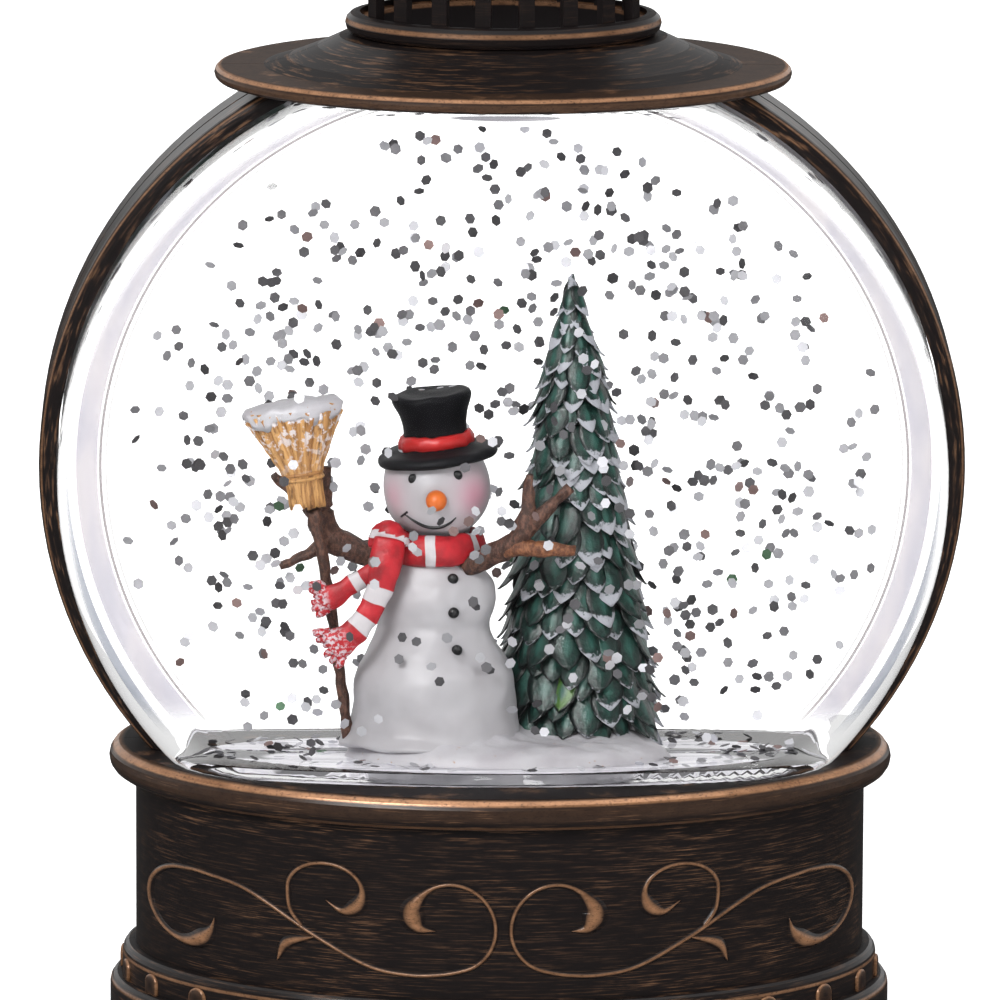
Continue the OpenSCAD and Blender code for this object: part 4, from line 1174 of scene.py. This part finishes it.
def build_floor():
    """Pale floor that is clear from below, so that the underside can be looked at."""
    g = Graph("floor_pale")
    ray = g.node("ShaderNodeLightPath").outputs
    mirrored = g.math("GREATER_THAN", ray["Glossy Depth"], 0.5)
    clouded = g.times(ray["Is Transmission Ray"], 0.5)
    mirror_shade = g.mix(clouded, (0.06, 0.06, 0.06), (0.93, 0.93, 0.93))
    paint = g.node("ShaderNodeBsdfDiffuse", {"Color": g.mix(mirrored, (0.93, 0.93, 0.93), mirror_shade)})
    bounce = g.times(ray["Is Diffuse Ray"], 0.3)
    glow_strength = g.most(g.times(seen_directly(g), 0.8), bounce)
    glow = g.node("ShaderNodeEmission", {"Strength": glow_strength})
    lit = g.node("ShaderNodeAddShader", {0: paint.outputs[0], 1: glow.outputs[0]})
    through = g.node("ShaderNodeBsdfTransparent")
    back = g.node("ShaderNodeNewGeometry").outputs["Backfacing"]
    mixed = g.node("ShaderNodeMixShader", {0: back, 1: lit.outputs[0], 2: through.outputs[0]})
    g.show(mixed)
    size = 12.0
    mesh = bpy.data.meshes.new("floor")
    corners = [(-size, -size, 0), (size, -size, 0), (size, size, 0), (-size, size, 0)]
    mesh.from_pydata(corners, [], [[0, 1, 2, 3]])
    mesh.materials.append(g.material)
    floor = bpy.data.objects.new("floor", mesh)
    bpy.context.scene.collection.objects.link(floor)


def area_light(name, place, size, power, shiny):
    light = bpy.data.lights.new(name, "AREA")
    light.shape = "DISK"
    light.size = size
    light.energy = power
    holder = bpy.data.objects.new(name, light)
    holder.location = place
    holder.rotation_euler = (Vector((0, 0, 0.1)) - Vector(place)).to_track_quat("-Z", "Y").to_euler()
    holder.visible_glossy = shiny
    bpy.context.scene.collection.objects.link(holder)


def build_camera():
    """A long lens two metres in front, looking down by twelve degrees and a little from the left."""
    distance = 1.96
    elevation, turn = radians(12.2), radians(0.9)
    target = Vector((-0.0002, 0, 0.0904))
    frame_width = 0.1572
    level = cos(elevation)
    back = Vector((-sin(turn) * level, -cos(turn) * level, sin(elevation)))
    camera = bpy.data.objects.new("camera", bpy.data.cameras.new("camera"))
    camera.data.sensor_width = 36
    camera.data.lens = 36 * distance / frame_width
    camera.location = target + back * distance
    camera.rotation_mode = "QUATERNION"
    roll = Quaternion((0, 0, 1), radians(0.26))
    camera.rotation_quaternion = (-back).to_track_quat("-Z", "Y") @ roll
    camera.data.clip_end = 50
    bpy.context.scene.collection.objects.link(camera)
    bpy.context.scene.camera = camera


# ---- Assembly ----------------------------------------------------------------------


def dress(nodes, material):
    """Gives CAD nodes a finish."""
    for node in nodes:
        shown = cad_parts[node]
        shown.data.materials.clear()
        shown.data.materials.append(material)


bronze = bronze_material()
dress(["front_frame", "rear_frame", "vent_cage", "roof_cap", "finial", "handle"], bronze)
build_scrollwork(bronze)
build_dentils(bronze)

clear_wall = clear_material("clear_wall", 1.49, painted_rim=True)
clear_wet = clear_material("clear_wet_side", 1.49 / 1.33)
drum_materials = [clear_wall, clear_wet, seam_material(), frosted_glow_material()]
build_drum_half("drum_front_clear", "drum_front", -1, drum_materials)
build_drum_half("drum_rear_clear", "drum_rear", 1, drum_materials)

porcelain = snow_material("porcelain_white", (0.46, 0.45, 0.47), (0.41, 0.395, 0.415), 0.1)
snow = snow_material("snow_rough", (0.54, 0.53, 0.555), (0.45, 0.43, 0.46), 0.5, sparkle=True)
black = plastic("paint_black", (0.006, 0.006, 0.007), 0.35)
orange = plastic("paint_orange", (0.75, 0.16, 0.02), 0.4)
build_snowman_body(porcelain, black)
build_head(porcelain, black, orange)
hat_black = plastic("paint_hat_black", (0.0045, 0.0045, 0.006), 0.5, 0.5, 3, gloss=0.12)
build_hat(hat_black, plastic("paint_band_red", (0.50, 0.01, 0.01), 0.4), snow)
build_scarf(cloth_material("cloth_striped", (0.47, 0.009, 0.018), (0.56, 0.53, 0.55)))
bark = bark_material("bark_brown", (0.04, 0.016, 0.010), (0.16, 0.072, 0.046))
build_arms(bark, bark_material("bark_red", (0.10, 0.03, 0.012), (0.30, 0.12, 0.05)))
build_broom(straw_material("straw_tan"), bark, snow)
build_tree(tree_material("fir_leaves"))
build_mound(snow)
build_glitter(flake_material("glitter_film"))

white = plastic("white_plastic", (0.85, 0.85, 0.86), 0.4)
dress(["light_diffuser", "well_grille", "impeller", "drive_hub"], white)
dress(["well_cup"], clear_material("clear_cup", 1.49))
dress(["fill_plug"], plastic("silicone_white", (0.80, 0.80, 0.80), 0.5))
dress(["rubber_feet"], plastic("rubber_black", (0.02, 0.02, 0.022), 0.7, 0.2))
dress(["impeller_pin", "motor_shaft", "tray_screws", "cover_screws", "battery_contacts", "power_socket"],
      metal("steel", (0.62, 0.63, 0.65), 0.25))
dress(["impeller_magnets", "drive_magnets"], metal("magnet_plated", (0.35, 0.35, 0.38), 0.2))
dress(["handle_rivets"], metal("rivet_copper", (0.40, 0.20, 0.10), 0.35))
dress(["led_board", "control_board", "socket_board"], plastic("board_green", (0.01, 0.14, 0.06), 0.45, 0.1))
dress(["board_parts"], plastic("component_black", (0.015, 0.015, 0.017), 0.4))
dress(["leds"], plastic("led_yellow", (0.85, 0.70, 0.25), 0.3))
dress(["drive_tray", "base_cover", "battery_door", "switch_body", "switch_knob", "motor"],
      plastic("dark_plastic", (0.022, 0.018, 0.016), 0.5, 0.2))
dress(["batteries"], plastic("cell_wrap", (0.05, 0.12, 0.28), 0.3))

build_world()
build_floor()
area_light("key", (-0.7, -1.3, 1.1), 0.8, 26, True)
area_light("fill", (1.1, -1.2, 0.6), 0.9, 11, False)
build_camera()

scene = bpy.context.scene
scene.view_settings.view_transform = "Standard"
scene.cycles.use_denoising = True
scene.cycles.max_bounces = 24
scene.cycles.transmission_bounces = 20
scene.cycles.transparent_max_bounces = 24
